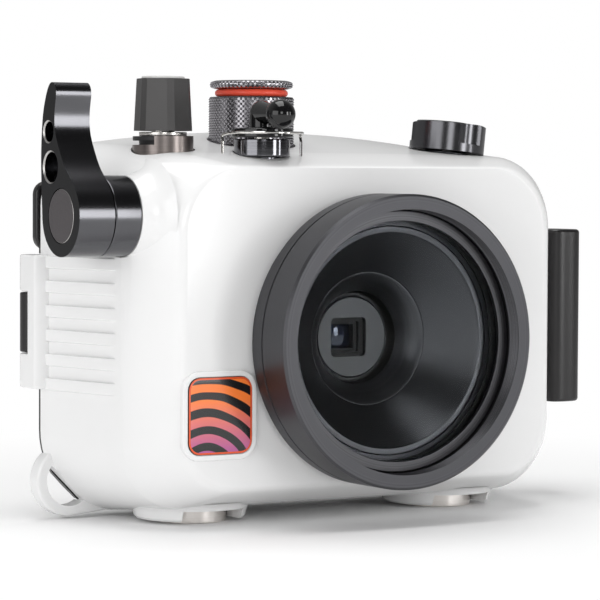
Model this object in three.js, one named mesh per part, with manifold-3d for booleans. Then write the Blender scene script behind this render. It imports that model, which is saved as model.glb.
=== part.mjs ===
// Underwater housing for a compact camera, in millimetres. The port looks along -Y, and +Z is up.
// Places are measured from the middle of the port's front rim: x to the viewer's right, depth (+Y)
// to the back, height (+Z). At the end the whole housing is set down on the ground, over the origin.
import * as THREE from 'three';
import { mergeVertices } from 'three/addons/utils/BufferGeometryUtils.js';
import Module from 'manifold-3d';

const wasm = await Module();
wasm.setup();

// Facets of round pieces, by size
const LARGE_ROUND = 44;
const ROUND = 20;
const SMALL_ROUND = 10;
const CORNER_FACETS = 4;

// Clearances, and the length by which a cut runs past what it opens
const SEAT_GAP = 0.1;
const FIT_GAP = 0.3;
const OVERRUN = 1;

// Port: threaded barrel, base ring that clamps it to the shell, and the window behind its thread
const port = {
  boreRadius: 33.5, rimWall: 4, chamfer: 0.6, baseThickness: 2.3, baseGap: 0.7, baseInset: 1.4,
  spigotInset: 1.5, spigotLength: 4.8, seatWidth: 4.1, seatDepth: 9.45,
};
const portWindow = { thickness: 2.7, sealThickness: 0.6, sealWidth: 2.6, ringThickness: 1.2, ringWidth: 2.6 };

// Black cone behind the window, with a step and a lip round the lens
const baffle = {
  seatGap: 0.15, rimWidth: 1.6, stepRadius: 16.9, stepLength: 10.7, lipRadius: 12.1, lipLength: 5.6,
  thickness: 1.4, flangeLength: 2.4,
};

// Camera that the housing is made for, behind the baffle
const camera = {
  width: 105, height: 59, thickness: 22, centreX: -5.5, centreHeight: 0.5, cornerRadius: 8, lensGap: 2.5,
  tubeRadius: 11.6, tubeBore: 8, tubeLength: 9.6, ringRadius: 20, ringLength: 4,
  faceRim: 1.34, faceProud: 0.3, faceThickness: 1.2,
  windowX: -0.9, windowWidth: 10.8, windowHeight: 10.2, windowCorner: 1.2, windowDepth: 0.5,
  screenWidth: 66, screenHeight: 45, screenThickness: 0.8, screenShift: 14.5,
  buttonRadius: 3.4, buttonHeight: 0.8, buttonInset: 5.5, buttonSetback: 10.5,
};
const tray = { thickness: 2.4, postRadius: 4, postSpacing: 40, depth: 20 };

// Shell round the camera: rounded front, shoulder, and a flare to the rim of the door
const shell = {
  frontDepth: 18, shoulderLength: 15, sideRounding: 6.7, topRounding: 1.2, bottomRounding: 4.5,
  sideRoom: 7.3, headRoom: 18, footRoom: 13.9, backRoom: 4.5, sideFlare: 6.6, topFlare: 5.5, bottomFlare: 3.2,
  shoulderSag: 0.8, rimSag: 4.7, shoulderRadius: 17, rimRadius: 22, topRadius: 17,
  archCentre: -8.4, archSpan: 60, wall: 3.2, roofDrop: 3.6, landWidth: 8, landDepth: 4,
};

// How far the rounded front edge has come in depth, and how much of its inset is left there
const roundingShares = [[0, 1], [0.07, 0.82], [0.3, 0.56], [0.65, 0.22]];

// Finger ribs on the side of the shell
const rib = { count: 6, pitch: 6.28, width: 3.14, top: 21, rise: 0.9, fade: 3.5, rimGap: 0.3 };

// Door hinge: two lugs of the shell with the door's knuckle between them
const hinge = {
  edgeInset: 0.3, setback: 4.9, barrelRadius: 3.4, pinRadius: 1.5,
  lugTop: 21.2, length: 34.5, knuckleDrop: 9.8, knuckleLength: 15.5,
};

// Lanyard eyelets at the two lower rear corners
const eyelet = {
  edgeInset: 7.1, floorRise: 8.8, outerRadius: 9.4, ringWidth: 2.7, thickness: 5, rimLap: 3,
  webLength: 16, webRise: 1.6, flat: 0.85,
};

// Tray standoffs under the floor, with the bosses that hold them
const standoff = {
  x: 38.6, forward: 4, radius: 9.5, height: 3.6, drop: 1.2, bossWidth: 5, bossRise: 0.9, bossFlare: 4.5,
  shankRadius: 5, shankLength: 6, threadRadius: 3.2, notchWidth: 17.4,
};

// Badge on the front, in its raised frame beside the port
const badge = {
  portGap: 9.5, height: -18, width: 18.2, tall: 19.2, radius: 3.2, thickness: 0.9,
  frameWidth: 1.6, frameRise: 0.9,
};

// Shutter lever on the side, with its gland, shaft and inner arm
const lever = {
  cameraGap: 4.7, cameraRise: 1.7, wallSink: 0.863, thickness: 9.8, hubRadius: 10.15, reach: 33.6,
  capRadius: 6.8, capThickness: 1.4, shaftRadius: 3, shaftTail: 3.5, glandLength: 7.4, shankRadius: 5.4,
  shankLength: 4, smallHoleRadius: 2.55, largeHoleRadius: 3.8, armThickness: 4, armHubRadius: 5.4,
  armReach: 15.3, armTipRadius: 2.2, armRiseDegrees: 26, springLength: 2.4,
};

// Outline of the lever above its hub, in hub radii across and reaches up, and the places of its holes
const leverOutlineShares = [
  [1.07, 0.414], [0.995, 0.711], [0.857, 0.857], [0.65, 0.973], [0.483, 1], [0.315, 0.973],
  [0.236, 0.914], [0.345, 0.768], [0.315, 0.619], [0.069, 0.479], [-0.217, 0.354], [-0.53, 0.275],
];
const smallHoleShares = [0.68, 0.622];
const largeHoleShares = [0.56, 0.36];

// Tapered knob on a notched collar
const power = {
  x: -48.4, depth: 42, seatRise: 2.5, collarRadius: 7.8, collarHeight: 5, collarWall: 1.4, notchDepth: 2.3,
  notchOffset: -2.2, notchTurnDegrees: 29, shankRadius: 4.6, neckRise: 1, shaftRadius: 3, buttonGap: 1.3,
  knobWall: 1.1, knobHeight: 13.3, taper: 0.7, facetDegrees: 44.6, skirtHeight: 3, crown: 3.5,
  insertRim: 1.3, insertRise: 0.6, insertThickness: 1.4,
};
const KNOB_FACETS = 6;

// Knurled accessory port with its screw cap and seal
const valve = {
  x: -18, depth: 49, seatRise: 3.4, drumRadius: 11.25, drumHeight: 12.9, baseInset: 0.35, baseHeight: 1.5,
  shankRadius: 6.2, shankTail: 3.4, boreRadius: 5.4, boreLength: 5.9, passageRadius: 1.6, sealInset: 2.6,
  sealThickness: 1.9, capInset: 0.6, capThickness: 2.2, stemGap: 0.4, stemClearance: 1, chamfer: 0.5,
};

// Zoom control: polished gland, hub with an arm and a ball, and its centring wire
const zoom = {
  x: -26.1, depth: 30, seatRise: 2.3, glandRadius: 7.15, glandHeight: 4.6, shankRadius: 4.4, shankTail: 2.9,
  shaftRadius: 2, forkDrop: 5.5, hubRadius: 8, hubThickness: 2.4, neckRadius: 4.1,
  armRise: 3.4, armEndRadius: 2.4, armTurnDegrees: -8.2, ballRadius: 3.8, ballReach: 12,
  wireRadius: 0.42, wireGap: 2.4, wireSpread: 2.9, wireFloor: 1.2, wireTurnDegrees: -8,
  forkRadius: 4, forkThickness: 3, forkReach: 7.5, prongRadius: 1.2, shaftTail: 4,
};

// Scalloped dial, square to the arched roof and so tilted to the right
const dial = {
  x: 40.7, depth: 44, seatRise: 3.2, tiltDegrees: 6.2, radius: 10.15, bottom: 0.9, height: 8, crown: 0.6,
  fluteCount: 3, fluteRadius: 6.2, fluteGap: 4.05, fluteFloor: 2.2, fluteTurnDegrees: -86,
  glandRadius: 6, glandHeight: 0.7, shankRadius: 4.4, shankLength: 6.5, shaftRadius: 2, shaftLength: 13,
  wheelRadius: 5.6, wheelThickness: 3.4,
};

// Door at the back: frame, window and seal
const door = {
  thickness: 3.9, inset: 0.4, edgeThickness: 1.4, backInset: 3.4, sill: 10, rabbet: 2.6,
  lipThickness: 1.2, windowThickness: 4, sealInset: 4.5, sealWidth: 1.8, sealDepth: 1.2,
  thumbTop: 39.6, thumbLength: 17, thumbRise: 0.5,
};

// Push buttons for the camera's rear keys, and the plate on the window that guides them
const button = {
  capRadius: 3.4, capHeight: 2.6, stemRadius: 1.3, travel: 2, reach: 2.4, spread: 9.5, row: 22, column: 7.5,
};
const plate = {
  edgeGap: 30.9, height: 0, sideMargin: 2.1, endMargin: 4.6, radius: 5, thickness: 1.6,
};

// Latch: lever, bail hook and their two pins
const latch = {
  rimGap: 5.6, setforward: 4, pinRadius: 1.5, centreHeight: 3.1, halfHeight: 24.1,
  gripInset: 1.4, gripWidth: 10.3, gripReach: 18.5, gripLength: 12, gripRadius: 1.2, heelRadius: 4,
  lugHalfHeight: 5, lugRadius: 3.6, pinHalfLength: 18,
  hookOut: 3, hookForward: 7, hookPinRadius: 1.2, hookEyeRadius: 2.4, armHalfSpacing: 9, armThickness: 3,
  armInset: 0.8, barLap: 2.9, barThickness: 3, barReach: 4.4,
};

// Places that follow from these sizes, from the port back to the door

Object.assign(port, {
  rimRadius: port.boreRadius + port.rimWall,
  length: shell.frontDepth - SEAT_GAP - port.baseThickness - port.baseGap,
  spigotRadius: port.boreRadius - port.spigotInset,
  spigotDepth: shell.frontDepth + port.spigotLength,
  innerRadius: port.boreRadius - port.seatWidth,
});
Object.assign(port, { baseRadius: port.rimRadius - port.baseInset, baseDepth: port.length + port.baseGap });

baffle.frontDepth = port.seatDepth + baffle.seatGap;
baffle.stepDepth = baffle.frontDepth + baffle.stepLength;
baffle.lipDepth = baffle.stepDepth + baffle.lipLength;
baffle.frontRadius = port.innerRadius - baffle.rimWidth;

camera.tubeFront = baffle.lipDepth + camera.lensGap;
camera.frontDepth = camera.tubeFront + camera.tubeLength;
Object.assign(camera, {
  left: camera.centreX - camera.width / 2,
  right: camera.centreX + camera.width / 2,
  bottom: camera.centreHeight - camera.height / 2,
  top: camera.centreHeight + camera.height / 2,
  backDepth: camera.frontDepth + camera.thickness,
  ringFront: camera.frontDepth - camera.ringLength,
  faceRadius: camera.tubeRadius - camera.faceRim,
  faceFront: camera.tubeFront - camera.faceProud,
  buttonDepth: camera.frontDepth + camera.buttonSetback,
});
camera.buttonX = camera.left + camera.buttonInset;
camera.screenX = camera.centreX + camera.screenShift;

shell.shoulder = {
  depth: shell.frontDepth + shell.shoulderLength,
  halfWidth: camera.width / 2 - camera.centreX + shell.sideRoom,
  top: camera.top + shell.headRoom,
  bottom: camera.bottom - shell.footRoom,
  archSag: shell.shoulderSag,
  lowRadius: shell.shoulderRadius,
};
shell.rim = {
  depth: camera.backDepth + shell.backRoom,
  halfWidth: shell.shoulder.halfWidth + shell.sideFlare,
  top: shell.shoulder.top + shell.topFlare,
  bottom: shell.shoulder.bottom - shell.bottomFlare,
  archSag: shell.rimSag,
  lowRadius: shell.rimRadius,
};
shell.roofHeight = shell.shoulder.top - shell.roofDrop;

Object.assign(rib, { frontDepth: shell.shoulder.depth, backDepth: shell.rim.depth - rib.rimGap });
Object.assign(hinge, {
  x: hinge.edgeInset - shell.rim.halfWidth,
  depth: shell.rim.depth + hinge.setback,
  lugBottom: hinge.lugTop - hinge.length,
  knuckleTop: hinge.lugTop - hinge.knuckleDrop,
});
hinge.knuckleBottom = hinge.knuckleTop - hinge.knuckleLength;
Object.assign(eyelet, {
  x: shell.rim.halfWidth - eyelet.edgeInset,
  height: shell.rim.bottom + eyelet.floorRise,
  innerRadius: eyelet.outerRadius - eyelet.ringWidth,
  frontDepth: shell.rim.depth - eyelet.rimLap,
});
eyelet.backDepth = eyelet.frontDepth + eyelet.thickness;
Object.assign(standoff, {
  depth: (camera.frontDepth + camera.backDepth) / 2 - standoff.forward,
  foot: shell.rim.bottom - standoff.drop,
  bossRadius: standoff.radius + standoff.bossWidth,
});
standoff.bossFoot = standoff.foot + standoff.bossRise;
standoff.bossSpread = standoff.bossRadius + standoff.bossFlare;
badge.x = -port.baseRadius - badge.portGap;

lever.depth = camera.frontDepth - lever.cameraGap;
lever.height = camera.top + lever.cameraRise;
lever.glandEnd = lever.wallSink - sectionAt(lever.depth).halfWidth;
lever.face = lever.glandEnd - lever.glandLength - FIT_GAP - lever.thickness;
lever.shankEnd = lever.glandEnd + lever.shankLength;

for (const control of [power, valve, zoom, dial]) control.seat = shell.roofHeight + control.seatRise;

power.neckRadius = power.collarRadius - power.collarWall - FIT_GAP;
power.neckTop = power.seat + power.collarHeight + power.neckRise;
power.shaftEnd = camera.top + camera.buttonHeight + power.buttonGap;
power.knobBottom = power.neckTop + FIT_GAP;
power.knobTop = power.knobBottom + power.knobHeight;
power.boreTop = power.knobTop - power.crown;
power.baseRadius = power.neckRadius + FIT_GAP + power.knobWall;
power.topRadius = power.baseRadius - power.taper;
power.insertRadius = power.topRadius - power.insertRim;

valve.baseRadius = valve.drumRadius - valve.baseInset;
valve.drumBottom = valve.seat + valve.baseHeight + 2 * SEAT_GAP;
valve.drumTop = valve.drumBottom + valve.drumHeight;
valve.shankEnd = shell.roofHeight - valve.shankTail;
valve.boreEnd = valve.drumTop - valve.boreLength;
valve.sealRadius = valve.drumRadius - valve.sealInset;
valve.capRadius = valve.drumRadius - valve.capInset;
valve.capTop = valve.drumTop + valve.sealThickness + 2 * SEAT_GAP + valve.capThickness;
valve.stemRadius = valve.boreRadius - valve.stemGap;
valve.stemEnd = valve.boreEnd + valve.stemClearance;

zoom.glandTop = zoom.seat + zoom.glandHeight;
zoom.shankEnd = shell.roofHeight - zoom.shankTail;
zoom.shaftEnd = zoom.shankEnd - zoom.forkDrop;
zoom.hubBottom = zoom.glandTop + FIT_GAP;
zoom.armHeight = zoom.hubBottom + zoom.hubThickness + zoom.armRise;
zoom.wireHeight = zoom.hubBottom + zoom.hubThickness / 2;
zoom.wireFront = zoom.hubRadius + zoom.wireGap;
zoom.wireEnd = zoom.hubRadius + zoom.wireSpread;
zoom.wireLeg = zoom.wireHeight - shell.roofHeight - zoom.wireFloor;

dial.fluteOffset = dial.radius + dial.fluteGap;
door.thumbBottom = door.thumbTop - door.thumbLength;
Object.assign(plate, {
  x: plate.edgeGap - shell.rim.halfWidth,
  width: 2 * (button.spread + button.capRadius + plate.sideMargin),
  tall: 2 * (button.row + button.capRadius + plate.endMargin),
});

Object.assign(latch, {
  pivotX: shell.rim.halfWidth + latch.rimGap,
  pivotDepth: shell.rim.depth - latch.setforward,
  barInner: shell.rim.halfWidth - latch.barLap,
});
Object.assign(latch, {
  gripInner: latch.pivotX - latch.gripInset,
  gripFront: latch.pivotDepth - latch.gripReach,
  hookX: latch.pivotX + latch.hookOut,
  hookDepth: latch.pivotDepth - latch.hookForward,
});
latch.gripOuter = latch.gripInner + latch.gripWidth;
latch.armInner = latch.hookX - latch.armInset;

// Materials, by what the real pieces are made of
function material(color, roughness, metalness) {
  return new THREE.MeshStandardMaterial({ color, roughness, metalness });
}
const whitePlastic = material('#ececec', 0.25, 0);
const blackPlastic = material('#1b1b1d', 0.4, 0);
const glossBlack = material('#151516', 0.15, 0);
const greyAnodised = material('#4b4b4d', 0.45, 0.8);
const darkMetal = material('#3b3b3e', 0.35, 0.9);
const steel = material('#b9b9b6', 0.3, 1);
const nickel = material('#cfcac4', 0.35, 1);
const glass = new THREE.MeshStandardMaterial({
  color: '#dfe8ee', roughness: 0.05, metalness: 0, transparent: true, opacity: 0.3,
});
const blackRubber = material('#202020', 0.8, 0);
const redRubber = material('#e8452f', 0.5, 0);
const cameraBlack = material('#232326', 0.6, 0.2);
const satinGrey = material('#58585a', 0.5, 0.1);

// A geometry as a solid: vertices merged, empty triangles dropped, faces pointing out
function toSolid(geometry) {
  const bare = geometry.clone();
  bare.deleteAttribute('normal');
  bare.deleteAttribute('uv');
  const merged = mergeVertices(bare);
  const position = merged.getAttribute('position');
  const index = merged.getIndex().array;
  const a = new THREE.Vector3();
  const b = new THREE.Vector3();
  const c = new THREE.Vector3();
  const triangles = [];
  let volume = 0;
  for (let i = 0; i < index.length; i += 3) {
    const [p, q, r] = [index[i], index[i + 1], index[i + 2]];
    if (p === q || q === r || r === p) continue;
    triangles.push([p, q, r]);
    a.fromBufferAttribute(position, p);
    b.fromBufferAttribute(position, q);
    c.fromBufferAttribute(position, r);
    volume += a.dot(b.cross(c));
  }
  const ordered = volume < 0 ? triangles.map(([p, q, r]) => [p, r, q]) : triangles;
  return new wasm.Manifold(new wasm.Mesh({
    numProp: 3,
    vertProperties: Float32Array.from(position.array),
    triVerts: Uint32Array.from(ordered.flat()),
  }));
}

function toGeometry(solid) {
  const { vertProperties, triVerts } = solid.getMesh();
  const geometry = new THREE.BufferGeometry();
  geometry.setAttribute('position', new THREE.BufferAttribute(Float32Array.from(vertProperties), 3));
  geometry.setIndex(new THREE.BufferAttribute(Uint32Array.from(triVerts), 1));
  geometry.computeVertexNormals();
  return geometry;
}

function piece(name, solid, finish) {
  const mesh = new THREE.Mesh(toGeometry(solid), finish);
  mesh.name = name;
  return mesh;
}

function join(solids) {
  return solids.reduce((whole, next) => whole.add(next));
}

// Directions of a flat outline's two sides and of its length, for each axis
const outlineBases = {
  x: [new THREE.Vector3(0, 1, 0), new THREE.Vector3(0, 0, 1), new THREE.Vector3(1, 0, 0)],
  y: [new THREE.Vector3(1, 0, 0), new THREE.Vector3(0, 0, 1), new THREE.Vector3(0, -1, 0)],
  z: [new THREE.Vector3(1, 0, 0), new THREE.Vector3(0, 1, 0), new THREE.Vector3(0, 0, 1)],
};

// A flat outline drawn out along an axis, from low to high
function prism(shape, axis, low, high, curveSegments = SMALL_ROUND) {
  const depth = high - low;
  const geometry = new THREE.ExtrudeGeometry(shape, { depth, bevelEnabled: false, curveSegments });
  geometry.applyMatrix4(new THREE.Matrix4().makeBasis(...outlineBases[axis]));
  const start = axis === 'y' ? high : low;
  const shift = new THREE.Vector3().setComponent('xyz'.indexOf(axis), start);
  geometry.translate(shift.x, shift.y, shift.z);
  return toSolid(geometry);
}

function polygon(points) {
  return new THREE.Shape(points.map(([u, v]) => new THREE.Vector2(u, v)));
}

function roundedRectangle(width, height, radius, u, v) {
  const shape = new THREE.Shape();
  const [left, right, low, high] = [u - width / 2, u + width / 2, v - height / 2, v + height / 2];
  shape.moveTo(left + radius, low);
  shape.lineTo(right - radius, low);
  shape.absarc(right - radius, low + radius, radius, -Math.PI / 2, 0);
  shape.lineTo(right, high - radius);
  shape.absarc(right - radius, high - radius, radius, 0, Math.PI / 2);
  shape.lineTo(left + radius, high);
  shape.absarc(left + radius, high - radius, radius, Math.PI / 2, Math.PI);
  shape.lineTo(left, low + radius);
  shape.absarc(left + radius, low + radius, radius, Math.PI, 1.5 * Math.PI);
  return shape;
}

function block(x, y, z) {
  const geometry = new THREE.BoxGeometry(x[1] - x[0], y[1] - y[0], z[1] - z[0]);
  geometry.translate((x[0] + x[1]) / 2, (y[0] + y[1]) / 2, (z[0] + z[1]) / 2);
  return toSolid(geometry);
}

// A profile of [radius, distance along the axis] turned round a line through the given point
function turned(profile, axis, at, facets = ROUND) {
  const points = profile.map(([radius, along]) => new THREE.Vector2(radius, along));
  const first = points[0];
  const closes = first.x > 0 || points[points.length - 1].x > 0;
  const geometry = new THREE.LatheGeometry(closes ? [...points, first.clone()] : points, facets);
  if (axis === 'z') geometry.rotateX(Math.PI / 2);
  if (axis === 'x') geometry.rotateZ(-Math.PI / 2);
  geometry.translate(at[0], at[1], at[2]);
  return toSolid(geometry);
}

function rod(radius, low, high, axis, at, facets = ROUND) {
  return turned([[0, low], [radius, low], [radius, high], [0, high]], axis, at, facets);
}

function tube(inner, outer, low, high, axis, at, facets = ROUND) {
  return turned([[inner, low], [outer, low], [outer, high], [inner, high]], axis, at, facets);
}

function ball(radius, at) {
  const geometry = new THREE.SphereGeometry(radius, ROUND, SMALL_ROUND);
  geometry.translate(at[0], at[1], at[2]);
  return toSolid(geometry);
}

// A closed solid through rings that hold the same number of points
function loft(rings) {
  const count = rings[0].length;
  const positions = rings.flat().flatMap((point) => point.toArray());
  const index = [];
  for (let row = 0; row + 1 < rings.length; row += 1) {
    for (let i = 0; i < count; i += 1) {
      const a = row * count + i;
      const b = row * count + ((i + 1) % count);
      index.push(a, b, a + count, b, b + count, a + count);
    }
  }
  const last = (rings.length - 1) * count;
  for (let i = 1; i + 1 < count; i += 1) {
    index.push(0, i + 1, i);
    index.push(last, last + i, last + i + 1);
  }
  const geometry = new THREE.BufferGeometry();
  geometry.setAttribute('position', new THREE.Float32BufferAttribute(positions, 3));
  geometry.setIndex(index);
  return toSolid(geometry);
}

// Shell outline

const CORNER_STEPS = 6;
const ARCH_STEPS = 8;

// Points of a rounded outline at one depth; its roof is a shallow arch, its corners round arcs
function sectionRing({ depth, halfWidth, top, bottom, archSag, lowRadius }, topRadius = shell.topRadius) {
  const points = [];
  const corner = (x, height, radius, from, to) => {
    for (let step = 0; step <= CORNER_STEPS; step += 1) {
      const angle = from + ((to - from) * step) / CORNER_STEPS;
      points.push(new THREE.Vector3(x + radius * Math.cos(angle), depth, height + radius * Math.sin(angle)));
    }
  };
  const arch = (x) => top - archSag * ((x - shell.archCentre) / shell.archSpan) ** 2;
  const tilt = (x) => Math.atan((2 * archSag * (x - shell.archCentre)) / shell.archSpan ** 2);
  const reach = halfWidth - topRadius;
  const left = -reach + topRadius * Math.sin(tilt(-reach));
  const right = reach + topRadius * Math.sin(tilt(reach));
  corner(lowRadius - halfWidth, bottom + lowRadius, lowRadius, 1.5 * Math.PI, Math.PI);
  const leftHeight = arch(left) - topRadius * Math.cos(tilt(-reach));
  corner(-reach, leftHeight, topRadius, Math.PI, Math.PI / 2 - tilt(-reach));
  for (let step = 1; step < ARCH_STEPS; step += 1) {
    const x = left + ((right - left) * step) / ARCH_STEPS;
    points.push(new THREE.Vector3(x, depth, arch(x)));
  }
  const rightHeight = arch(right) - topRadius * Math.cos(tilt(reach));
  corner(reach, rightHeight, topRadius, Math.PI / 2 - tilt(reach), 0);
  corner(halfWidth - lowRadius, bottom + lowRadius, lowRadius, 0, -Math.PI / 2);
  return points;
}

// Section of the shell at any depth, in line with its shoulder and its rim
function sectionAt(depth) {
  const { shoulder, rim } = shell;
  const share = (depth - shoulder.depth) / (rim.depth - shoulder.depth);
  const between = (key) => shoulder[key] + (rim[key] - shoulder[key]) * share;
  return {
    depth,
    halfWidth: between('halfWidth'),
    top: between('top'),
    bottom: between('bottom'),
    archSag: Math.max(0, between('archSag')),
    lowRadius: between('lowRadius'),
  };
}

// The same section drawn in by an inset
function insetSection(section, inset) {
  return {
    ...section,
    halfWidth: section.halfWidth - inset,
    top: section.top - inset,
    bottom: section.bottom + inset,
    lowRadius: section.lowRadius - inset,
  };
}

function shellBody() {
  const { frontDepth, shoulder, rim } = shell;
  const rounded = roundingShares.map(([along, inset]) => {
    const full = sectionAt(frontDepth + (shoulder.depth - frontDepth) * along);
    return sectionRing({
      ...full,
      halfWidth: full.halfWidth - shell.sideRounding * inset,
      top: full.top - shell.topRounding * inset,
      bottom: full.bottom + shell.bottomRounding * inset,
    });
  });
  return loft([...rounded, sectionRing(shoulder), sectionRing(rim)]);
}

// Space inside, under a flat ceiling, with a narrower mouth that leaves a land for the door's seal
function shellCavity() {
  const { frontDepth, shoulder, rim, wall, landDepth, landWidth, topRadius } = shell;
  const inner = (depth) => ({ ...insetSection(sectionAt(depth), wall), top: shell.roofHeight, archSag: 0 });
  const front = inner(frontDepth + wall);
  front.halfWidth -= shell.sideRounding;
  front.bottom += shell.bottomRounding / 2;
  const space = loft([
    sectionRing(front, topRadius - wall),
    sectionRing(inner(shoulder.depth), topRadius - wall),
    sectionRing(inner(rim.depth - landDepth), topRadius - wall),
  ]);
  return space.add(doorSlab(landWidth, rim.depth - landDepth - OVERRUN, rim.depth + OVERRUN));
}

// Ribs on the left wall, raised from it and faded out at the front
function fingerRibs() {
  const wallX = (depth, rise) => -sectionAt(depth).halfWidth - rise;
  const outline = polygon([
    [wallX(rib.frontDepth, -rib.rise), rib.frontDepth],
    [wallX(rib.frontDepth + rib.fade, rib.rise), rib.frontDepth + rib.fade],
    [wallX(rib.backDepth, rib.rise), rib.backDepth],
    [wallX(rib.backDepth, -shell.wall / 2), rib.backDepth],
    [wallX(rib.frontDepth, -shell.wall / 2), rib.frontDepth],
  ]);
  const ribs = [];
  for (let i = 0; i < rib.count; i += 1) {
    const top = rib.top - i * rib.pitch;
    ribs.push(prism(outline, 'z', top - rib.width, top));
  }
  return join(ribs);
}

function hingeLugs() {
  const { x, depth, barrelRadius, lugTop, lugBottom, knuckleTop, knuckleBottom, pinRadius } = hinge;
  const rootDepth = depth - 4 * barrelRadius;
  const rootX = -sectionAt(rootDepth).halfWidth;
  const outline = new THREE.Shape();
  outline.moveTo(rootX + shell.wall, rootDepth);
  outline.lineTo(rootX, rootDepth);
  const outerX = x - barrelRadius;
  outline.quadraticCurveTo(outerX, depth - 2 * barrelRadius, outerX, depth - barrelRadius);
  outline.lineTo(x - barrelRadius, depth);
  outline.absarc(x, depth, barrelRadius, Math.PI, 0, true);
  outline.lineTo(x + barrelRadius, shell.rim.depth - FIT_GAP);
  const axis = [x, depth, 0];
  const pinHole = rod(pinRadius + FIT_GAP, lugBottom - OVERRUN, lugTop + OVERRUN, 'z', axis, SMALL_ROUND);
  const lugs = join([
    prism(outline, 'z', lugBottom, knuckleBottom - FIT_GAP, CORNER_FACETS),
    prism(outline, 'z', knuckleTop + FIT_GAP, lugTop, CORNER_FACETS),
  ]);
  return lugs.subtract(pinHole);
}

// Ring with a web along the floor, kept clear of the door
function eyeletRing(side) {
  const { x, height, outerRadius, frontDepth, backDepth, webLength, webRise } = eyelet;
  const low = height - outerRadius;
  const web = polygon([
    [side * x, low], [side * (x - webLength), low + webRise],
    [side * (x - webLength), height], [side * x, height],
  ]);
  return rod(outerRadius, frontDepth, backDepth, 'y', [side * x, 0, height])
    .add(prism(web, 'y', frontDepth, backDepth))
    .subtract(doorSlab(door.inset - FIT_GAP, shell.rim.depth, backDepth + OVERRUN));
}

// Its hole is round, but for a flat across the shell's lower corner
function eyeletHole(side, shift) {
  const { x, height, innerRadius, frontDepth, backDepth, flat } = eyelet;
  const inward = (flat + shift) * Math.SQRT2;
  const reach = 2 * innerRadius;
  const outside = polygon([
    [side * (x + inward + reach), height + reach], [side * (x + inward - reach), height - reach],
    [side * (x + inward + reach), height - reach],
  ]);
  return rod(innerRadius, frontDepth - OVERRUN, backDepth + door.thickness, 'y', [side * x, 0, height])
    .intersect(prism(outside, 'y', frontDepth - 2 * OVERRUN, backDepth + door.thickness + OVERRUN));
}

function standoffBoss(x) {
  const { bossRadius, bossFoot, bossSpread, depth } = standoff;
  const floor = sectionAt(depth).bottom + shell.wall / 2;
  const profile = [[0, bossFoot], [bossRadius, bossFoot], [bossSpread, floor], [0, floor]];
  const mound = turned(profile, 'z', [x, depth, 0]);
  const across = [x - bossSpread, x + bossSpread];
  const behind = block(across, [shell.rim.depth, shell.rim.depth + bossSpread], [bossFoot, floor]);
  return mound.subtract(behind);
}

// Blind boss over the shank, inside the shell
function standoffSocket(x) {
  const roof = standoff.foot + standoff.height + SEAT_GAP;
  const top = roof + standoff.shankLength + FIT_GAP + shell.wall;
  return rod(standoff.shankRadius + shell.wall, roof + FIT_GAP, top, 'z', [x, standoff.depth, 0]);
}

function standoffPocket(x) {
  const at = [x, standoff.depth, 0];
  const roof = standoff.foot + standoff.height + SEAT_GAP;
  const below = standoff.bossFoot - OVERRUN;
  const pocket = rod(standoff.radius + FIT_GAP, below, roof, 'z', at);
  const holeTop = roof + standoff.shankLength + FIT_GAP;
  const shankHole = rod(standoff.shankRadius + FIT_GAP, below, holeTop, 'z', at);
  const half = standoff.notchWidth / 2;
  const front = standoff.depth - standoff.bossSpread;
  const notch = block([x - half, x + half], [front, standoff.depth], [below, roof]);
  return join([pocket, shankHole, notch]);
}

function badgeFrame() {
  const { x, height, width, tall, radius, frameWidth, frameRise } = badge;
  const [outerWidth, outerTall] = [width + 2 * frameWidth, tall + 2 * frameWidth];
  const outer = roundedRectangle(outerWidth, outerTall, radius + frameWidth, x, height);
  const inner = roundedRectangle(width + 2 * SEAT_GAP, tall + 2 * SEAT_GAP, radius, x, height);
  const front = shell.frontDepth - frameRise;
  const ring = prism(outer, 'y', front, shell.frontDepth + shell.wall / 2, CORNER_FACETS);
  return ring.subtract(join([
    prism(inner, 'y', front - OVERRUN, shell.frontDepth, CORNER_FACETS),
    rod(port.baseRadius + FIT_GAP, 0, shell.frontDepth, 'y', [0, 0, 0], LARGE_ROUND),
  ]));
}

// Lug that carries the latch pivot, from the right wall outwards
function latchLug() {
  const { pivotX, pivotDepth, lugRadius, centreHeight, lugHalfHeight, pinRadius } = latch;
  const rootDepth = pivotDepth - 2 * lugRadius;
  const rootX = sectionAt(rootDepth).halfWidth - shell.wall / 2;
  const outline = new THREE.Shape();
  outline.moveTo(rootX, rootDepth);
  outline.lineTo(pivotX, pivotDepth - lugRadius);
  outline.absarc(pivotX, pivotDepth, lugRadius, -Math.PI / 2, Math.PI / 2);
  outline.lineTo(rootX, pivotDepth + lugRadius);
  const low = centreHeight - lugHalfHeight;
  const high = centreHeight + lugHalfHeight;
  const axis = [pivotX, pivotDepth, 0];
  const hole = rod(pinRadius + FIT_GAP, low - OVERRUN, high + OVERRUN, 'z', axis, SMALL_ROUND);
  return prism(outline, 'z', low, high, CORNER_FACETS).subtract(hole);
}

// Flat round seat for a control on the roof, with the hole for its shank
function roofSeat(control, radius) {
  const at = [control.x, control.depth, 0];
  const above = shell.rim.top + OVERRUN;
  const seat = rod(radius + FIT_GAP, control.seat, above, 'z', at);
  return seat.add(rod(control.shankRadius + FIT_GAP, shell.roofHeight - shell.wall, above, 'z', at));
}

function leverSeat() {
  const at = [0, lever.depth, lever.height];
  const seatX = lever.glandEnd + SEAT_GAP;
  const flat = rod(lever.hubRadius + FIT_GAP, lever.face, seatX, 'x', at);
  return flat.add(rod(lever.shankRadius + FIT_GAP, lever.face, lever.shankEnd + shell.wall, 'x', at));
}

function leverBoss() {
  const inside = lever.glandEnd + shell.wall + OVERRUN;
  const at = [0, lever.depth, lever.height];
  return rod(lever.hubRadius, lever.glandEnd + SEAT_GAP, inside, 'x', at);
}

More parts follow.
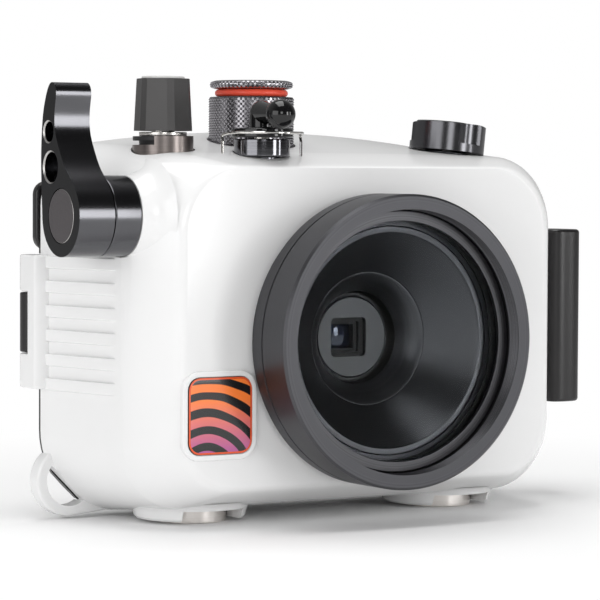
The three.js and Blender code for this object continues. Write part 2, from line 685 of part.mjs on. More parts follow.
function dialSeat() {
  const seat = rod(dial.radius + FIT_GAP, 0, dial.height + dial.bottom + OVERRUN, 'z', [0, 0, 0]);
  const hole = rod(dial.shankRadius + FIT_GAP, -dial.shankLength - OVERRUN, OVERRUN, 'z', [0, 0, 0]);
  return seat.add(hole).transform(dialPlace().toArray());
}

// Blind holes in the roof for the two ends of the centring wire
function wireHoles() {
  const floor = zoom.wireHeight - zoom.wireLeg - SEAT_GAP;
  return join(zoomWireEnds().map(([x, depth]) => rod(zoom.wireRadius + FIT_GAP, floor, shell.rim.top, 'z',
    [x, depth, 0], SMALL_ROUND)));
}

function shellPiece() {
  const outside = join([
    shellBody(), fingerRibs(), hingeLugs(), eyeletRing(-1), eyeletRing(1), standoffBoss(-standoff.x),
    standoffBoss(standoff.x), badgeFrame(), latchLug(),
  ]);
  const hollow = outside.subtract(shellCavity());
  const body = join([hollow, leverBoss(), standoffSocket(-standoff.x), standoffSocket(standoff.x)]);
  const inside = shell.frontDepth + 2 * shell.wall;
  const portHole = rod(port.spigotRadius + FIT_GAP, 0, inside, 'y', [0, 0, 0], LARGE_ROUND);
  const cuts = join([
    portHole, eyeletHole(-1, 0), eyeletHole(1, 0), standoffPocket(-standoff.x), standoffPocket(standoff.x),
    leverSeat(), roofSeat(power, power.collarRadius), roofSeat(valve, valve.drumRadius),
    roofSeat(zoom, zoom.glandRadius), dialSeat(), wireHoles(),
  ]);
  return piece('shell', body.subtract(cuts), whitePlastic);
}

// Small fixed pieces on the shell

function badgePiece() {
  const { x, height, width, tall, radius, thickness } = badge;
  const back = shell.frontDepth - SEAT_GAP;
  const outline = roundedRectangle(width, tall, radius, x, height);
  return piece('badge', prism(outline, 'y', back - thickness, back, CORNER_FACETS), glossBlack);
}

function standoffPiece(name, x) {
  const { foot, height, radius, shankRadius, shankLength, threadRadius, depth } = standoff;
  const top = foot + height;
  const profile = [
    [threadRadius, foot], [radius, foot], [radius, top], [shankRadius, top],
    [shankRadius, top + shankLength], [threadRadius, top + shankLength],
  ];
  return piece(name, turned(profile, 'z', [x, depth, 0]), nickel);
}

// Port

function portPieces() {
  const axis = [0, 0, 0];
  const {
    rimRadius, boreRadius, chamfer, length, spigotRadius, spigotDepth, innerRadius, seatDepth, baseRadius,
    baseDepth,
  } = port;
  const barrel = turned([
    [boreRadius, 0], [rimRadius - chamfer, 0], [rimRadius, chamfer], [rimRadius, length],
    [spigotRadius, length], [spigotRadius, spigotDepth], [innerRadius, spigotDepth],
    [innerRadius, seatDepth], [boreRadius, seatDepth],
  ], 'y', axis, LARGE_ROUND);
  const baseBack = shell.frontDepth - SEAT_GAP;
  const base = tube(spigotRadius + FIT_GAP, baseRadius, baseDepth, baseBack, 'y', axis, LARGE_ROUND);
  const edge = boreRadius - FIT_GAP;
  const sealFront = seatDepth - SEAT_GAP - portWindow.sealThickness;
  const glassBack = sealFront - SEAT_GAP;
  const glassFront = glassBack - portWindow.thickness;
  const ringBack = glassFront - SEAT_GAP;
  const sealInner = edge - portWindow.sealWidth;
  const seal = tube(sealInner, edge, sealFront, seatDepth - SEAT_GAP, 'y', axis, LARGE_ROUND);
  const pane = rod(edge, glassFront, glassBack, 'y', axis, LARGE_ROUND);
  const ringFront = ringBack - portWindow.ringThickness;
  const ring = tube(edge - portWindow.ringWidth, edge, ringFront, ringBack, 'y', axis, LARGE_ROUND);
  return [
    piece('port_barrel', barrel, greyAnodised),
    piece('port_base_ring', base, greyAnodised),
    piece('port_window', pane, glass),
    piece('port_window_seal', seal, blackRubber),
    piece('port_window_ring', ring, darkMetal),
  ];
}

function bafflePiece() {
  const {
    frontDepth, frontRadius, stepRadius, stepDepth, lipRadius, lipDepth, thickness, flangeLength,
  } = baffle;
  const outer = port.innerRadius - FIT_GAP;
  const profile = [
    [frontRadius, frontDepth], [outer, frontDepth], [outer, frontDepth + flangeLength],
    [frontRadius - thickness / 2, frontDepth + flangeLength],
    [stepRadius + thickness, stepDepth + thickness / 2],
    [lipRadius + thickness, lipDepth + thickness / 2], [lipRadius, lipDepth], [stepRadius, stepDepth],
  ];
  return piece('lens_baffle', turned(profile, 'y', [0, 0, 0], LARGE_ROUND), darkMetal);
}

// Camera

function cameraPieces() {
  const { left, right, bottom, top, frontDepth, backDepth, cornerRadius } = camera;
  const [middleX, middleDepth] = [(left + right) / 2, (frontDepth + backDepth) / 2];
  const outline = roundedRectangle(right - left, backDepth - frontDepth, cornerRadius, middleX, middleDepth);
  const buttons = [[camera.buttonX, camera.buttonDepth], [power.x, power.depth]].map(([x, depth]) =>
    rod(camera.buttonRadius, top - OVERRUN, top + camera.buttonHeight, 'z', [x, depth, 0]));
  const body = join([prism(outline, 'z', bottom, top, CORNER_FACETS), ...buttons]);
  const back = frontDepth - SEAT_GAP;
  const mouth = camera.faceRadius + FIT_GAP;
  const faceBack = camera.faceFront + camera.faceThickness;
  const seat = faceBack + SEAT_GAP;
  const tubeBody = turned([
    [mouth, camera.tubeFront], [camera.tubeRadius, camera.tubeFront], [camera.tubeRadius, camera.ringFront],
    [camera.ringRadius, camera.ringFront], [camera.ringRadius, back], [camera.tubeBore, back],
    [camera.tubeBore, seat], [mouth, seat],
  ], 'y', [0, 0, 0]);
  const { windowWidth, windowHeight, windowCorner, windowX } = camera;
  const windowEdge = roundedRectangle(windowWidth, windowHeight, windowCorner, windowX, 0);
  const recessBack = camera.faceFront + camera.windowDepth;
  const recess = prism(windowEdge, 'y', camera.faceFront - OVERRUN, recessBack, 1);
  const face = rod(camera.faceRadius, camera.faceFront, faceBack, 'y', [0, 0, 0]).subtract(recess);
  const { screenWidth, screenHeight, screenThickness, screenX } = camera;
  const screenFront = backDepth + SEAT_GAP;
  const screen = block([screenX - screenWidth / 2, screenX + screenWidth / 2],
    [screenFront, screenFront + screenThickness], [-screenHeight / 2, screenHeight / 2]);
  return [
    piece('camera_body', body, cameraBlack),
    piece('camera_lens_tube', tubeBody, cameraBlack),
    piece('camera_lens_face', face, satinGrey),
    piece('camera_screen', screen, glossBlack),
  ];
}

// Tray under the camera, on two posts that stand on the floor
function trayPiece() {
  const top = camera.bottom - SEAT_GAP;
  const centreDepth = (camera.frontDepth + camera.backDepth) / 2;
  const half = tray.depth / 2;
  const along = [centreDepth - half, centreDepth + half];
  const bed = block([camera.left, camera.right], along, [top - tray.thickness, top]);
  const middle = (camera.left + camera.right) / 2;
  const floor = sectionAt(centreDepth - tray.postRadius).bottom + shell.wall + SEAT_GAP;
  const posts = [-1, 1].map((side) => rod(tray.postRadius, floor, top - tray.thickness / 2, 'z',
    [middle + (side * tray.postSpacing) / 2, centreDepth, 0], SMALL_ROUND));
  return piece('camera_tray', join([bed, ...posts]), blackPlastic);
}

// Shutter lever

function leverShape() {
  const { depth, height, hubRadius, reach } = lever;
  const shape = new THREE.Shape();
  shape.absarc(depth, height, hubRadius, 0.75 * Math.PI, 2 * Math.PI);
  shape.splineThru(leverOutlineShares.map(([across, up]) =>
    new THREE.Vector2(depth + across * hubRadius, height + up * reach)));
  shape.closePath();
  return shape;
}

function leverPieces() {
  const { depth, height, face, thickness, hubRadius, reach, capRadius, capThickness, shaftRadius } = lever;
  const axis = [0, depth, height];
  const inner = face + thickness;
  const holeAt = ([across, up]) => [0, depth + across * hubRadius, height + up * reach];
  const cuts = join([
    rod(lever.smallHoleRadius, face - OVERRUN, inner + OVERRUN, 'x', holeAt(smallHoleShares), SMALL_ROUND),
    rod(lever.largeHoleRadius, face - OVERRUN, inner + OVERRUN, 'x', holeAt(largeHoleShares), SMALL_ROUND),
    rod(capRadius + SEAT_GAP, face - OVERRUN, face + capThickness + SEAT_GAP, 'x', axis),
    rod(shaftRadius + SEAT_GAP, face - OVERRUN, inner + OVERRUN, 'x', axis, SMALL_ROUND),
  ]);
  const arm = prism(leverShape(), 'x', face, inner, CORNER_FACETS).subtract(cuts);
  const capBack = face + capThickness;
  const glandFace = inner + FIT_GAP;
  const bore = shaftRadius + FIT_GAP;
  const gland = turned([
    [bore, glandFace], [hubRadius, glandFace], [hubRadius, lever.glandEnd],
    [lever.shankRadius, lever.glandEnd], [lever.shankRadius, lever.shankEnd], [bore, lever.shankEnd],
  ], 'x', axis);
  const springStart = lever.shankEnd + FIT_GAP;
  const springEnd = springStart + lever.springLength;
  const spring = tube(bore, lever.armHubRadius, springStart, springEnd, 'x', axis, SMALL_ROUND);
  const armStart = springEnd + FIT_GAP;
  const rise = THREE.MathUtils.degToRad(lever.armRiseDegrees);
  const tip = [depth + lever.armReach * Math.cos(rise), height + lever.armReach * Math.sin(rise)];
  const across = [-Math.sin(rise) * lever.armTipRadius, Math.cos(rise) * lever.armTipRadius];
  const bar = polygon([
    [depth - across[0], height - across[1]], [tip[0] - across[0], tip[1] - across[1]],
    [tip[0] + across[0], tip[1] + across[1]], [depth + across[0], height + across[1]],
  ]);
  const armEnd = armStart + lever.armThickness;
  const shaftEnd = armEnd + lever.shaftTail;
  const innerArm = join([
    rod(lever.armHubRadius, armStart, armEnd, 'x', axis, SMALL_ROUND),
    prism(bar, 'x', armStart, armEnd),
    rod(lever.armTipRadius, armStart, armEnd, 'x', [0, tip[0], tip[1]], SMALL_ROUND),
  ]).subtract(rod(shaftRadius + SEAT_GAP, armStart - OVERRUN, armEnd + OVERRUN, 'x', axis, SMALL_ROUND));
  const shaft = rod(shaftRadius, capBack + 2 * SEAT_GAP, shaftEnd, 'x', axis, SMALL_ROUND);
  return [
    piece('lever_gland', gland, glossBlack),
    piece('shutter_lever', arm, glossBlack),
    piece('shutter_lever_cap', rod(capRadius, face, capBack, 'x', axis), darkMetal),
    piece('shutter_shaft', shaft, steel),
    piece('shutter_inner_arm', innerArm, blackPlastic),
    piece('shutter_spring', spring, steel),
  ];
}

// Tapered knob

// Ring of points with wide flats and narrow chamfers between them
function facetedRing(radius, height) {
  const half = THREE.MathUtils.degToRad(power.facetDegrees / 2);
  const points = [];
  for (let i = 0; i < KNOB_FACETS; i += 1) {
    const middle = (2 * Math.PI * i) / KNOB_FACETS;
    for (const angle of [middle - half, middle + half]) {
      const [x, y] = [power.x + radius * Math.cos(angle), power.depth + radius * Math.sin(angle)];
      points.push(new THREE.Vector3(x, y, height));
    }
  }
  return points;
}

// Box over one side of the collar, in which its notch and the key in the notch lie
function notchBlock(floor, clearance) {
  const top = power.seat + power.collarHeight;
  const left = -power.collarRadius - OVERRUN;
  const side = power.collarRadius + OVERRUN;
  return block([left, power.notchOffset + clearance], [-side, side], [floor + clearance, top + OVERRUN])
    .rotate([0, 0, -power.notchTurnDegrees])
    .translate([power.x, power.depth, 0]);
}

function powerPieces() {
  const axis = [power.x, power.depth, 0];
  const {
    seat, collarRadius, collarHeight, collarWall, notchDepth, neckRadius, neckTop, shaftRadius, shaftEnd,
    knobBottom, knobTop, baseRadius, topRadius, skirtHeight, insertRadius, insertRise, insertThickness,
    boreTop,
  } = power;
  const bottom = seat + SEAT_GAP;
  const collarTop = seat + collarHeight;
  const notchFloor = collarTop - notchDepth;
  const collar = tube(collarRadius - collarWall, collarRadius, bottom, collarTop, 'z', axis)
    .subtract(notchBlock(notchFloor, 0));
  const shankEnd = shell.roofHeight - shell.wall / 2;
  const key = tube(neckRadius - collarWall, collarRadius - SEAT_GAP, bottom, collarTop - SEAT_GAP, 'z', axis)
    .intersect(notchBlock(notchFloor, FIT_GAP - 2 * SEAT_GAP).translate([-FIT_GAP, 0, 0]));
  const sleeve = tube(shaftRadius + FIT_GAP, neckRadius, bottom, neckTop, 'z', axis)
    .add(tube(shaftRadius + FIT_GAP, power.shankRadius, shankEnd, neckTop, 'z', axis))
    .add(key);
  const insertBottom = knobTop + insertRise - insertThickness;
  const knob = loft([facetedRing(baseRadius, knobBottom), facetedRing(topRadius, knobTop)]).subtract(join([
    rod(neckRadius + FIT_GAP, knobBottom - OVERRUN, knobBottom + skirtHeight, 'z', axis),
    rod(shaftRadius + FIT_GAP, knobBottom - OVERRUN, boreTop, 'z', axis, SMALL_ROUND),
    rod(insertRadius + SEAT_GAP, insertBottom - SEAT_GAP, knobTop + OVERRUN, 'z', axis),
  ]));
  const insert = rod(insertRadius, insertBottom, knobTop + insertRise, 'z', axis);
  return [
    piece('power_collar', collar, darkMetal),
    piece('power_sleeve', sleeve, blackPlastic),
    piece('power_shaft', rod(shaftRadius, shaftEnd, boreTop - FIT_GAP, 'z', axis, SMALL_ROUND), steel),
    piece('power_knob', knob, satinGrey),
    piece('power_knob_insert', insert, whitePlastic),
  ];
}

// Knurled accessory port

function valvePieces() {
  const axis = [valve.x, valve.depth, 0];
  const {
    seat, baseRadius, baseHeight, drumRadius, drumBottom, drumTop, shankRadius, shankEnd, boreRadius, boreEnd,
    passageRadius, sealRadius, sealThickness, capRadius, capTop, stemRadius, stemEnd, chamfer,
  } = valve;
  const baseBottom = seat + SEAT_GAP;
  const base = tube(shankRadius + FIT_GAP, baseRadius, baseBottom, baseBottom + baseHeight, 'z', axis);
  const drum = turned([
    [passageRadius, shankEnd], [shankRadius, shankEnd], [shankRadius, drumBottom], [drumRadius, drumBottom],
    [drumRadius, drumTop], [boreRadius, drumTop], [boreRadius, boreEnd], [passageRadius, boreEnd],
  ], 'z', axis, LARGE_ROUND);
  const sealMiddle = drumTop + SEAT_GAP + sealThickness / 2;
  const sealProfile = [];
  const sealSteps = 8;
  for (let i = 0; i < sealSteps; i += 1) {
    const angle = (2 * Math.PI * i) / sealSteps;
    const half = sealThickness / 2;
    sealProfile.push([sealRadius + half * Math.cos(angle), sealMiddle + half * Math.sin(angle)]);
  }
  const capBottom = sealMiddle + sealThickness / 2 + SEAT_GAP;
  const cap = turned([
    [0, stemEnd], [stemRadius, stemEnd], [stemRadius, capBottom], [capRadius, capBottom],
    [capRadius, capTop - chamfer], [capRadius - chamfer, capTop], [0, capTop],
  ], 'z', axis, LARGE_ROUND);
  return [
    piece('valve_base_ring', base, darkMetal),
    piece('valve_body', drum, darkMetal),
    piece('valve_cap_seal', turned(sealProfile, 'z', axis), redRubber),
    piece('valve_cap', cap, darkMetal),
  ];
}

// Zoom control

// Point of the wire at an angle round the hub, measured from straight ahead to the right
function zoomWirePoint(angle, radius, height) {
  const turn = THREE.MathUtils.degToRad(zoom.wireTurnDegrees) + angle;
  return new THREE.Vector3(zoom.x + radius * Math.sin(turn), zoom.depth - radius * Math.cos(turn), height);
}

function zoomWireEnds() {
  return [-1, 1].map((side) => {
    const end = zoomWirePoint((side * Math.PI) / 2, zoom.wireEnd, 0);
    return [end.x, end.y];
  });
}

// Centring wire: half a circle round the front of the hub, its two ends bent down into the roof
function zoomWire() {
  const { wireRadius, wireHeight, wireFront, wireEnd, wireLeg } = zoom;
  const bend = 3 * wireRadius;
  const side = (sign) => [
    zoomWirePoint((sign * Math.PI) / 2, wireEnd, wireHeight - wireLeg),
    zoomWirePoint((sign * Math.PI) / 2, wireEnd, wireHeight - wireLeg / 2),
    zoomWirePoint((sign * Math.PI) / 2, wireEnd, wireHeight - 2 * bend),
    zoomWirePoint((sign * Math.PI) / 2, wireEnd - wireRadius / 2, wireHeight - bend / 2),
  ];
  const arcSteps = 7;
  const arc = [];
  for (let step = 1; step < arcSteps; step += 1) {
    arc.push(zoomWirePoint(Math.PI * (step / arcSteps - 1 / 2), wireFront, wireHeight));
  }
  const path = new THREE.CatmullRomCurve3([...side(-1), ...arc, ...side(1).reverse()]);
  const section = new THREE.Shape().absarc(0, 0, wireRadius, 0, 2 * Math.PI);
  return toSolid(new THREE.ExtrudeGeometry(section, { extrudePath: path, steps: 32, curveSegments: 2 }));
}

function zoomPieces() {
  const axis = [zoom.x, zoom.depth, 0];
  const {
    seat, glandRadius, glandTop, shankRadius, shankEnd, shaftRadius, shaftEnd, hubRadius, hubBottom,
    hubThickness, neckRadius, armHeight, armEndRadius, armTurnDegrees, ballRadius, ballReach, forkRadius,
    forkThickness, forkReach, prongRadius, shaftTail,
  } = zoom;
  const bore = shaftRadius + FIT_GAP;
  const bottom = seat + SEAT_GAP;
  const gland = turned([
    [bore, shankEnd], [shankRadius, shankEnd], [shankRadius, bottom], [glandRadius, bottom],
    [glandRadius, glandTop], [bore, glandTop],
  ], 'z', axis);
  const armLength = ballReach - ballRadius + SEAT_GAP;
  const arm = turned([[0, 0], [neckRadius, 0], [armEndRadius, -armLength], [0, -armLength]], 'y', [0, 0, 0])
    .subtract(ball(ballRadius + SEAT_GAP, [0, -ballReach, 0]))
    .rotate([0, 0, armTurnDegrees])
    .translate([zoom.x, zoom.depth, armHeight]);
  const hubTop = hubBottom + hubThickness;
  const hub = join([
    rod(hubRadius, hubBottom, hubTop, 'z', axis),
    rod(neckRadius, hubBottom, armHeight, 'z', axis), ball(neckRadius, [zoom.x, zoom.depth, armHeight]), arm,
  ]).subtract(rod(shaftRadius + SEAT_GAP, hubBottom - OVERRUN, hubTop, 'z', axis, SMALL_ROUND));
  const turn = THREE.MathUtils.degToRad(armTurnDegrees);
  const ballAt = [zoom.x + ballReach * Math.sin(turn), zoom.depth - ballReach * Math.cos(turn), armHeight];
  const forkTop = shaftEnd + forkThickness;
  const prongs = [-1, 1].map((side) => {
    const middle = zoom.x + side * (forkRadius - prongRadius);
    const along = [zoom.depth - forkReach, zoom.depth];
    return block([middle - prongRadius, middle + prongRadius], along, [shaftEnd, forkTop]);
  });
  const fork = join([
    rod(forkRadius, shaftEnd, forkTop, 'z', axis, SMALL_ROUND), ...prongs,
  ]).subtract(rod(shaftRadius + SEAT_GAP, shaftEnd - OVERRUN, forkTop + OVERRUN, 'z', axis, SMALL_ROUND));
  const shaft = rod(shaftRadius, shaftEnd - shaftTail, hubTop - SEAT_GAP, 'z', axis, SMALL_ROUND);
  return [
    piece('zoom_gland', gland, darkMetal),
    piece('zoom_hub', hub, glossBlack),
    piece('zoom_ball', ball(ballRadius, ballAt), glossBlack),
    piece('zoom_spring', zoomWire(), steel),
    piece('zoom_shaft', shaft, steel),
    piece('zoom_fork', fork, blackPlastic),
  ];
}

// Scalloped dial

function dialPlace() {
  const tilt = THREE.MathUtils.degToRad(dial.tiltDegrees);
  return new THREE.Matrix4().makeRotationY(tilt).setPosition(dial.x, dial.depth, dial.seat);
}

function dialPieces() {
  const axis = [0, 0, 0];
  const {
    radius, bottom, height, crown, fluteCount, fluteRadius, fluteOffset, fluteFloor, fluteTurnDegrees,
    glandRadius, glandHeight, shankRadius, shankLength, shaftRadius, shaftLength, wheelRadius, wheelThickness,
  } = dial;
  const top = bottom + height;
  const blank = turned([
    [0, bottom], [radius, bottom], [radius, top - crown], [radius - crown, top - crown / 2], [0, top],
  ], 'z', axis, LARGE_ROUND);
  const flutes = [];
  for (let i = 0; i < fluteCount; i += 1) {
    const angle = THREE.MathUtils.degToRad(fluteTurnDegrees) + (2 * Math.PI * i) / fluteCount;
    const at = [fluteOffset * Math.cos(angle), fluteOffset * Math.sin(angle), 0];
    flutes.push(rod(fluteRadius, bottom + fluteFloor, top + OVERRUN, 'z', at));
  }
  const shaftTop = bottom + height / 2;
  const shaftHole = rod(shaftRadius + SEAT_GAP, bottom - OVERRUN, shaftTop, 'z', axis, SMALL_ROUND);
  const shaft = rod(shaftRadius, -shaftLength, shaftTop - SEAT_GAP, 'z', axis, SMALL_ROUND);
  const bore = shaftRadius + FIT_GAP;
  const gland = turned([
    [bore, -shankLength], [shankRadius, -shankLength], [shankRadius, SEAT_GAP], [glandRadius, SEAT_GAP],
    [glandRadius, glandHeight], [bore, glandHeight],
  ], 'z', axis);
  const wheelTop = -shankLength - FIT_GAP;
  const wheel = tube(shaftRadius + SEAT_GAP, wheelRadius, wheelTop - wheelThickness, wheelTop, 'z', axis);
  const group = new THREE.Group();
  group.applyMatrix4(dialPlace());
  group.add(
    piece('dial_gland', gland, darkMetal),
    piece('dial_knob', blank.subtract(join([...flutes, shaftHole])), glossBlack),
    piece('dial_shaft', shaft, steel),
    piece('dial_drive_wheel', wheel, blackRubber),
  );
  return group;
}

// Door

// Slab of the rim's outline, drawn in from its edge by the inset
function doorSlab(inset, low, high) {
  const section = insetSection(shell.rim, inset);
  return loft([low, high].map((depth) => sectionRing({ ...section, depth }, shell.topRadius - inset)));
}

function buttonPlaces() {
  const { x, height } = plate;
  const { spread, row, column } = button;
  return [
    ['button_ok', x, height],
    ['button_up', x, height + spread],
    ['button_down', x, height - spread],
    ['button_left', x - spread, height],
    ['button_right', x + spread, height],
    ['button_play', x - column, height - row],
    ['button_delete', x + column, height - row],
    ['button_menu', x + column, height + row],
  ];
}

function doorPieces() {
  const front = shell.rim.depth + FIT_GAP;
  const back = front + door.thickness;
  const lipBack = front + door.lipThickness;
  const { x, depth, barrelRadius, knuckleTop, knuckleBottom, lugTop, lugBottom, pinRadius } = hinge;
  const knuckle = new THREE.Shape();
  knuckle.moveTo(x, depth - barrelRadius);
  knuckle.lineTo(x + 2 * barrelRadius, front + door.lipThickness);
  knuckle.lineTo(x + 2 * barrelRadius, back);
  knuckle.lineTo(x + barrelRadius, back);
  knuckle.absarc(x, depth, barrelRadius, 0, 1.5 * Math.PI);
  const notchAcross = [x - 2 * barrelRadius, x + barrelRadius + FIT_GAP];
  const lugNotch = block(notchAcross, [front - OVERRUN, back + OVERRUN], [lugBottom - FIT_GAP, lugTop + FIT_GAP]);
  const pinHole = rod(pinRadius + FIT_GAP, lugBottom, lugTop, 'z', [x, depth, 0], SMALL_ROUND);
  const thumb = block([-shell.rim.halfWidth + door.inset - door.thumbRise, x + barrelRadius], [lipBack, back],
    [door.thumbBottom, door.thumbTop]);
  const grooveInner = door.sealInset + door.sealWidth + 2 * SEAT_GAP;
  const sealGroove = doorSlab(door.sealInset, front - OVERRUN, front + door.sealDepth)
    .subtract(doorSlab(grooveInner, front - 2 * OVERRUN, front + 2 * OVERRUN));
  const edgeBack = front + door.edgeThickness;
  const panel = [[front, door.inset], [edgeBack, door.inset], [back, door.backInset]].map(([at, inset]) =>
    sectionRing({ ...insetSection(shell.rim, inset), depth: at }, shell.topRadius - inset));
  const frame = loft(panel)
    .subtract(lugNotch)
    .add(prism(knuckle, 'z', knuckleBottom, knuckleTop, CORNER_FACETS))
    .add(thumb)
    .subtract(join([
      doorSlab(door.sill, front - OVERRUN, back + OVERRUN),
      doorSlab(door.sill - door.rabbet, lipBack, back + OVERRUN),
      sealGroove,
      pinHole,
      eyeletHole(-1, FIT_GAP),
      eyeletHole(1, FIT_GAP),
    ]));
  const seal = doorSlab(door.sealInset + SEAT_GAP, front - 2 * SEAT_GAP, front + door.sealDepth - SEAT_GAP)
    .subtract(doorSlab(door.sealInset + SEAT_GAP + door.sealWidth, front - OVERRUN, front + 2 * OVERRUN));
  const paneFront = lipBack + SEAT_GAP;
  const paneBack = paneFront + door.windowThickness;
  const places = buttonPlaces();
  const plateBack = paneBack + SEAT_GAP + plate.thickness;
  const stemBore = button.stemRadius + FIT_GAP;
  const stemHoles = join(places.map(([, px, height]) =>
    rod(stemBore, front - OVERRUN, plateBack + OVERRUN, 'y', [px, 0, height], SMALL_ROUND)));
  const pane = doorSlab(door.sill - door.rabbet + FIT_GAP, paneFront, paneBack).subtract(stemHoles);
  const plateShape = roundedRectangle(plate.width, plate.tall, plate.radius, plate.x, plate.height);
  const guide = prism(plateShape, 'y', paneBack + SEAT_GAP, plateBack, CORNER_FACETS).subtract(stemHoles);
  const buttons = places.map(([name, px, height]) => {
    const capBottom = plateBack + button.travel + SEAT_GAP;
    const tip = camera.backDepth + SEAT_GAP + camera.screenThickness + button.reach;
    const solid = turned([
      [0, tip], [button.stemRadius, tip], [button.stemRadius, capBottom], [button.capRadius, capBottom],
      [button.capRadius, capBottom + button.capHeight], [0, capBottom + button.capHeight],
    ], 'y', [px, 0, height], SMALL_ROUND);
    return piece(name, solid, blackPlastic);
  });
  const pin = rod(pinRadius, lugBottom + SEAT_GAP, lugTop - SEAT_GAP, 'z', [x, depth, 0], SMALL_ROUND);
  return [
    piece('door_frame', frame, blackPlastic),
    piece('door_window', pane, glass),
    piece('door_seal', seal, blackRubber),
    piece('button_plate', guide, blackPlastic),
    piece('hinge_pin', pin, steel),
    ...buttons,
  ];
}

// Latch

// Section of the grip that tapers back to its heel round the pivot
function latchOutline() {
  const { pivotX, pivotDepth, gripInner, gripOuter, gripFront, gripLength, gripRadius, heelRadius } = latch;
  const outline = new THREE.Shape();
  outline.moveTo(gripInner + gripRadius, gripFront);
  outline.lineTo(gripOuter - gripRadius, gripFront);
  outline.absarc(gripOuter - gripRadius, gripFront + gripRadius, gripRadius, -Math.PI / 2, 0);
  outline.lineTo(gripOuter, gripFront + gripLength);
  outline.lineTo(pivotX + heelRadius, pivotDepth);
  outline.absarc(pivotX, pivotDepth, heelRadius, 0, Math.PI);
  outline.lineTo(gripInner, gripFront + gripLength);
  outline.lineTo(gripInner, gripFront + gripRadius);
  outline.absarc(gripInner + gripRadius, gripFront + gripRadius, gripRadius, Math.PI, 1.5 * Math.PI);
  return outline;
}

// One arm of the bail hook, from its eye round the edge of the door
function hookArmOutline(barDepth, barBack) {
  const { pivotDepth, hookX, hookDepth, hookEyeRadius, armInner, barInner, barReach } = latch;
  const outline = new THREE.Shape();
  outline.moveTo(hookX, hookDepth - hookEyeRadius);
  outline.absarc(hookX, hookDepth, hookEyeRadius, -Math.PI / 2, 0);
  outline.lineTo(hookX + hookEyeRadius, pivotDepth + hookEyeRadius);
  outline.lineTo(barInner + barReach, barBack);
  outline.lineTo(barInner + barReach, barDepth);
  outline.lineTo(armInner, pivotDepth + hookEyeRadius);
  outline.lineTo(armInner, hookDepth + hookEyeRadius);
  outline.lineTo(hookX - hookEyeRadius, hookDepth);
  outline.absarc(hookX, hookDepth, hookEyeRadius, Math.PI, 1.5 * Math.PI);
  return outline;
}

// Pin and pin hole along the latch, as long as half is high either side of its centre
function latchPin(x, depth, radius, half) {
  const { centreHeight } = latch;
  return rod(radius, centreHeight - half, centreHeight + half, 'z', [x, depth, 0], SMALL_ROUND);
}

function latchPieces() {
  const {
    pivotX, pivotDepth, pinRadius, centreHeight, halfHeight, gripOuter, heelRadius, lugHalfHeight,
    pinHalfLength, hookX, hookDepth, hookPinRadius, hookEyeRadius, armHalfSpacing, armThickness,
    barInner, barThickness, barReach,
  } = latch;
  const slotFront = hookDepth - hookEyeRadius - FIT_GAP;
  const slotBack = pivotDepth + heelRadius + OVERRUN;
  const slotAcross = [pivotX - 2 * heelRadius, gripOuter + OVERRUN];
  const slot = (middle, half) => block(slotAcross, [slotFront, slotBack], [middle - half, middle + half]);
  const armHalf = armThickness / 2;
  const hookPinHalf = armHalfSpacing + armThickness;
  const [low, high] = [centreHeight - halfHeight, centreHeight + halfHeight];
  const body = prism(latchOutline(), 'z', low, high, CORNER_FACETS).subtract(join([
    slot(centreHeight, lugHalfHeight + FIT_GAP),
    slot(centreHeight - armHalfSpacing, armHalf + FIT_GAP),
    slot(centreHeight + armHalfSpacing, armHalf + FIT_GAP),
    latchPin(pivotX, pivotDepth, pinRadius + FIT_GAP, pinHalfLength + FIT_GAP),
    latchPin(hookX, hookDepth, hookPinRadius + FIT_GAP, hookPinHalf + FIT_GAP),
  ]));
  const barDepth = shell.rim.depth + door.thickness + 2 * FIT_GAP;
  const barBack = barDepth + barThickness;
  const armShape = hookArmOutline(barDepth, barBack);
  const armAt = (middle) => prism(armShape, 'z', middle - armHalf, middle + armHalf, CORNER_FACETS);
  const bar = block([barInner, barInner + barReach + armHalf], [barDepth, barBack],
    [centreHeight - armHalfSpacing - armHalf, centreHeight + armHalfSpacing + armHalf]);
  const hook = join([armAt(centreHeight - armHalfSpacing), armAt(centreHeight + armHalfSpacing), bar])
    .subtract(latchPin(hookX, hookDepth, hookPinRadius + FIT_GAP, hookPinHalf));
  return [
    piece('latch_lever', body, blackPlastic),
    piece('latch_hook', hook, blackPlastic),
    piece('latch_pivot_pin', latchPin(pivotX, pivotDepth, pinRadius, pinHalfLength), steel),
    piece('latch_hook_pin', latchPin(hookX, hookDepth, hookPinRadius, hookPinHalf), steel),
  ];
}

// The whole housing, set down on the ground plane

const group = new THREE.Group();
group.add(
  shellPiece(), badgePiece(),
  standoffPiece('standoff_left', -standoff.x), standoffPiece('standoff_right', standoff.x),
  ...portPieces(), bafflePiece(), ...cameraPieces(), trayPiece(), ...leverPieces(), ...powerPieces(),
  ...valvePieces(), ...zoomPieces(), dialPieces(), ...doorPieces(), ...latchPieces(),
);
const bounds = new THREE.Box3().setFromObject(group);
const middle = bounds.getCenter(new THREE.Vector3());
group.position.set(-middle.x, -middle.y, -bounds.min.z);

export default group;
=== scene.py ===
import math

import bmesh
import bpy
from mathutils import Matrix, Vector


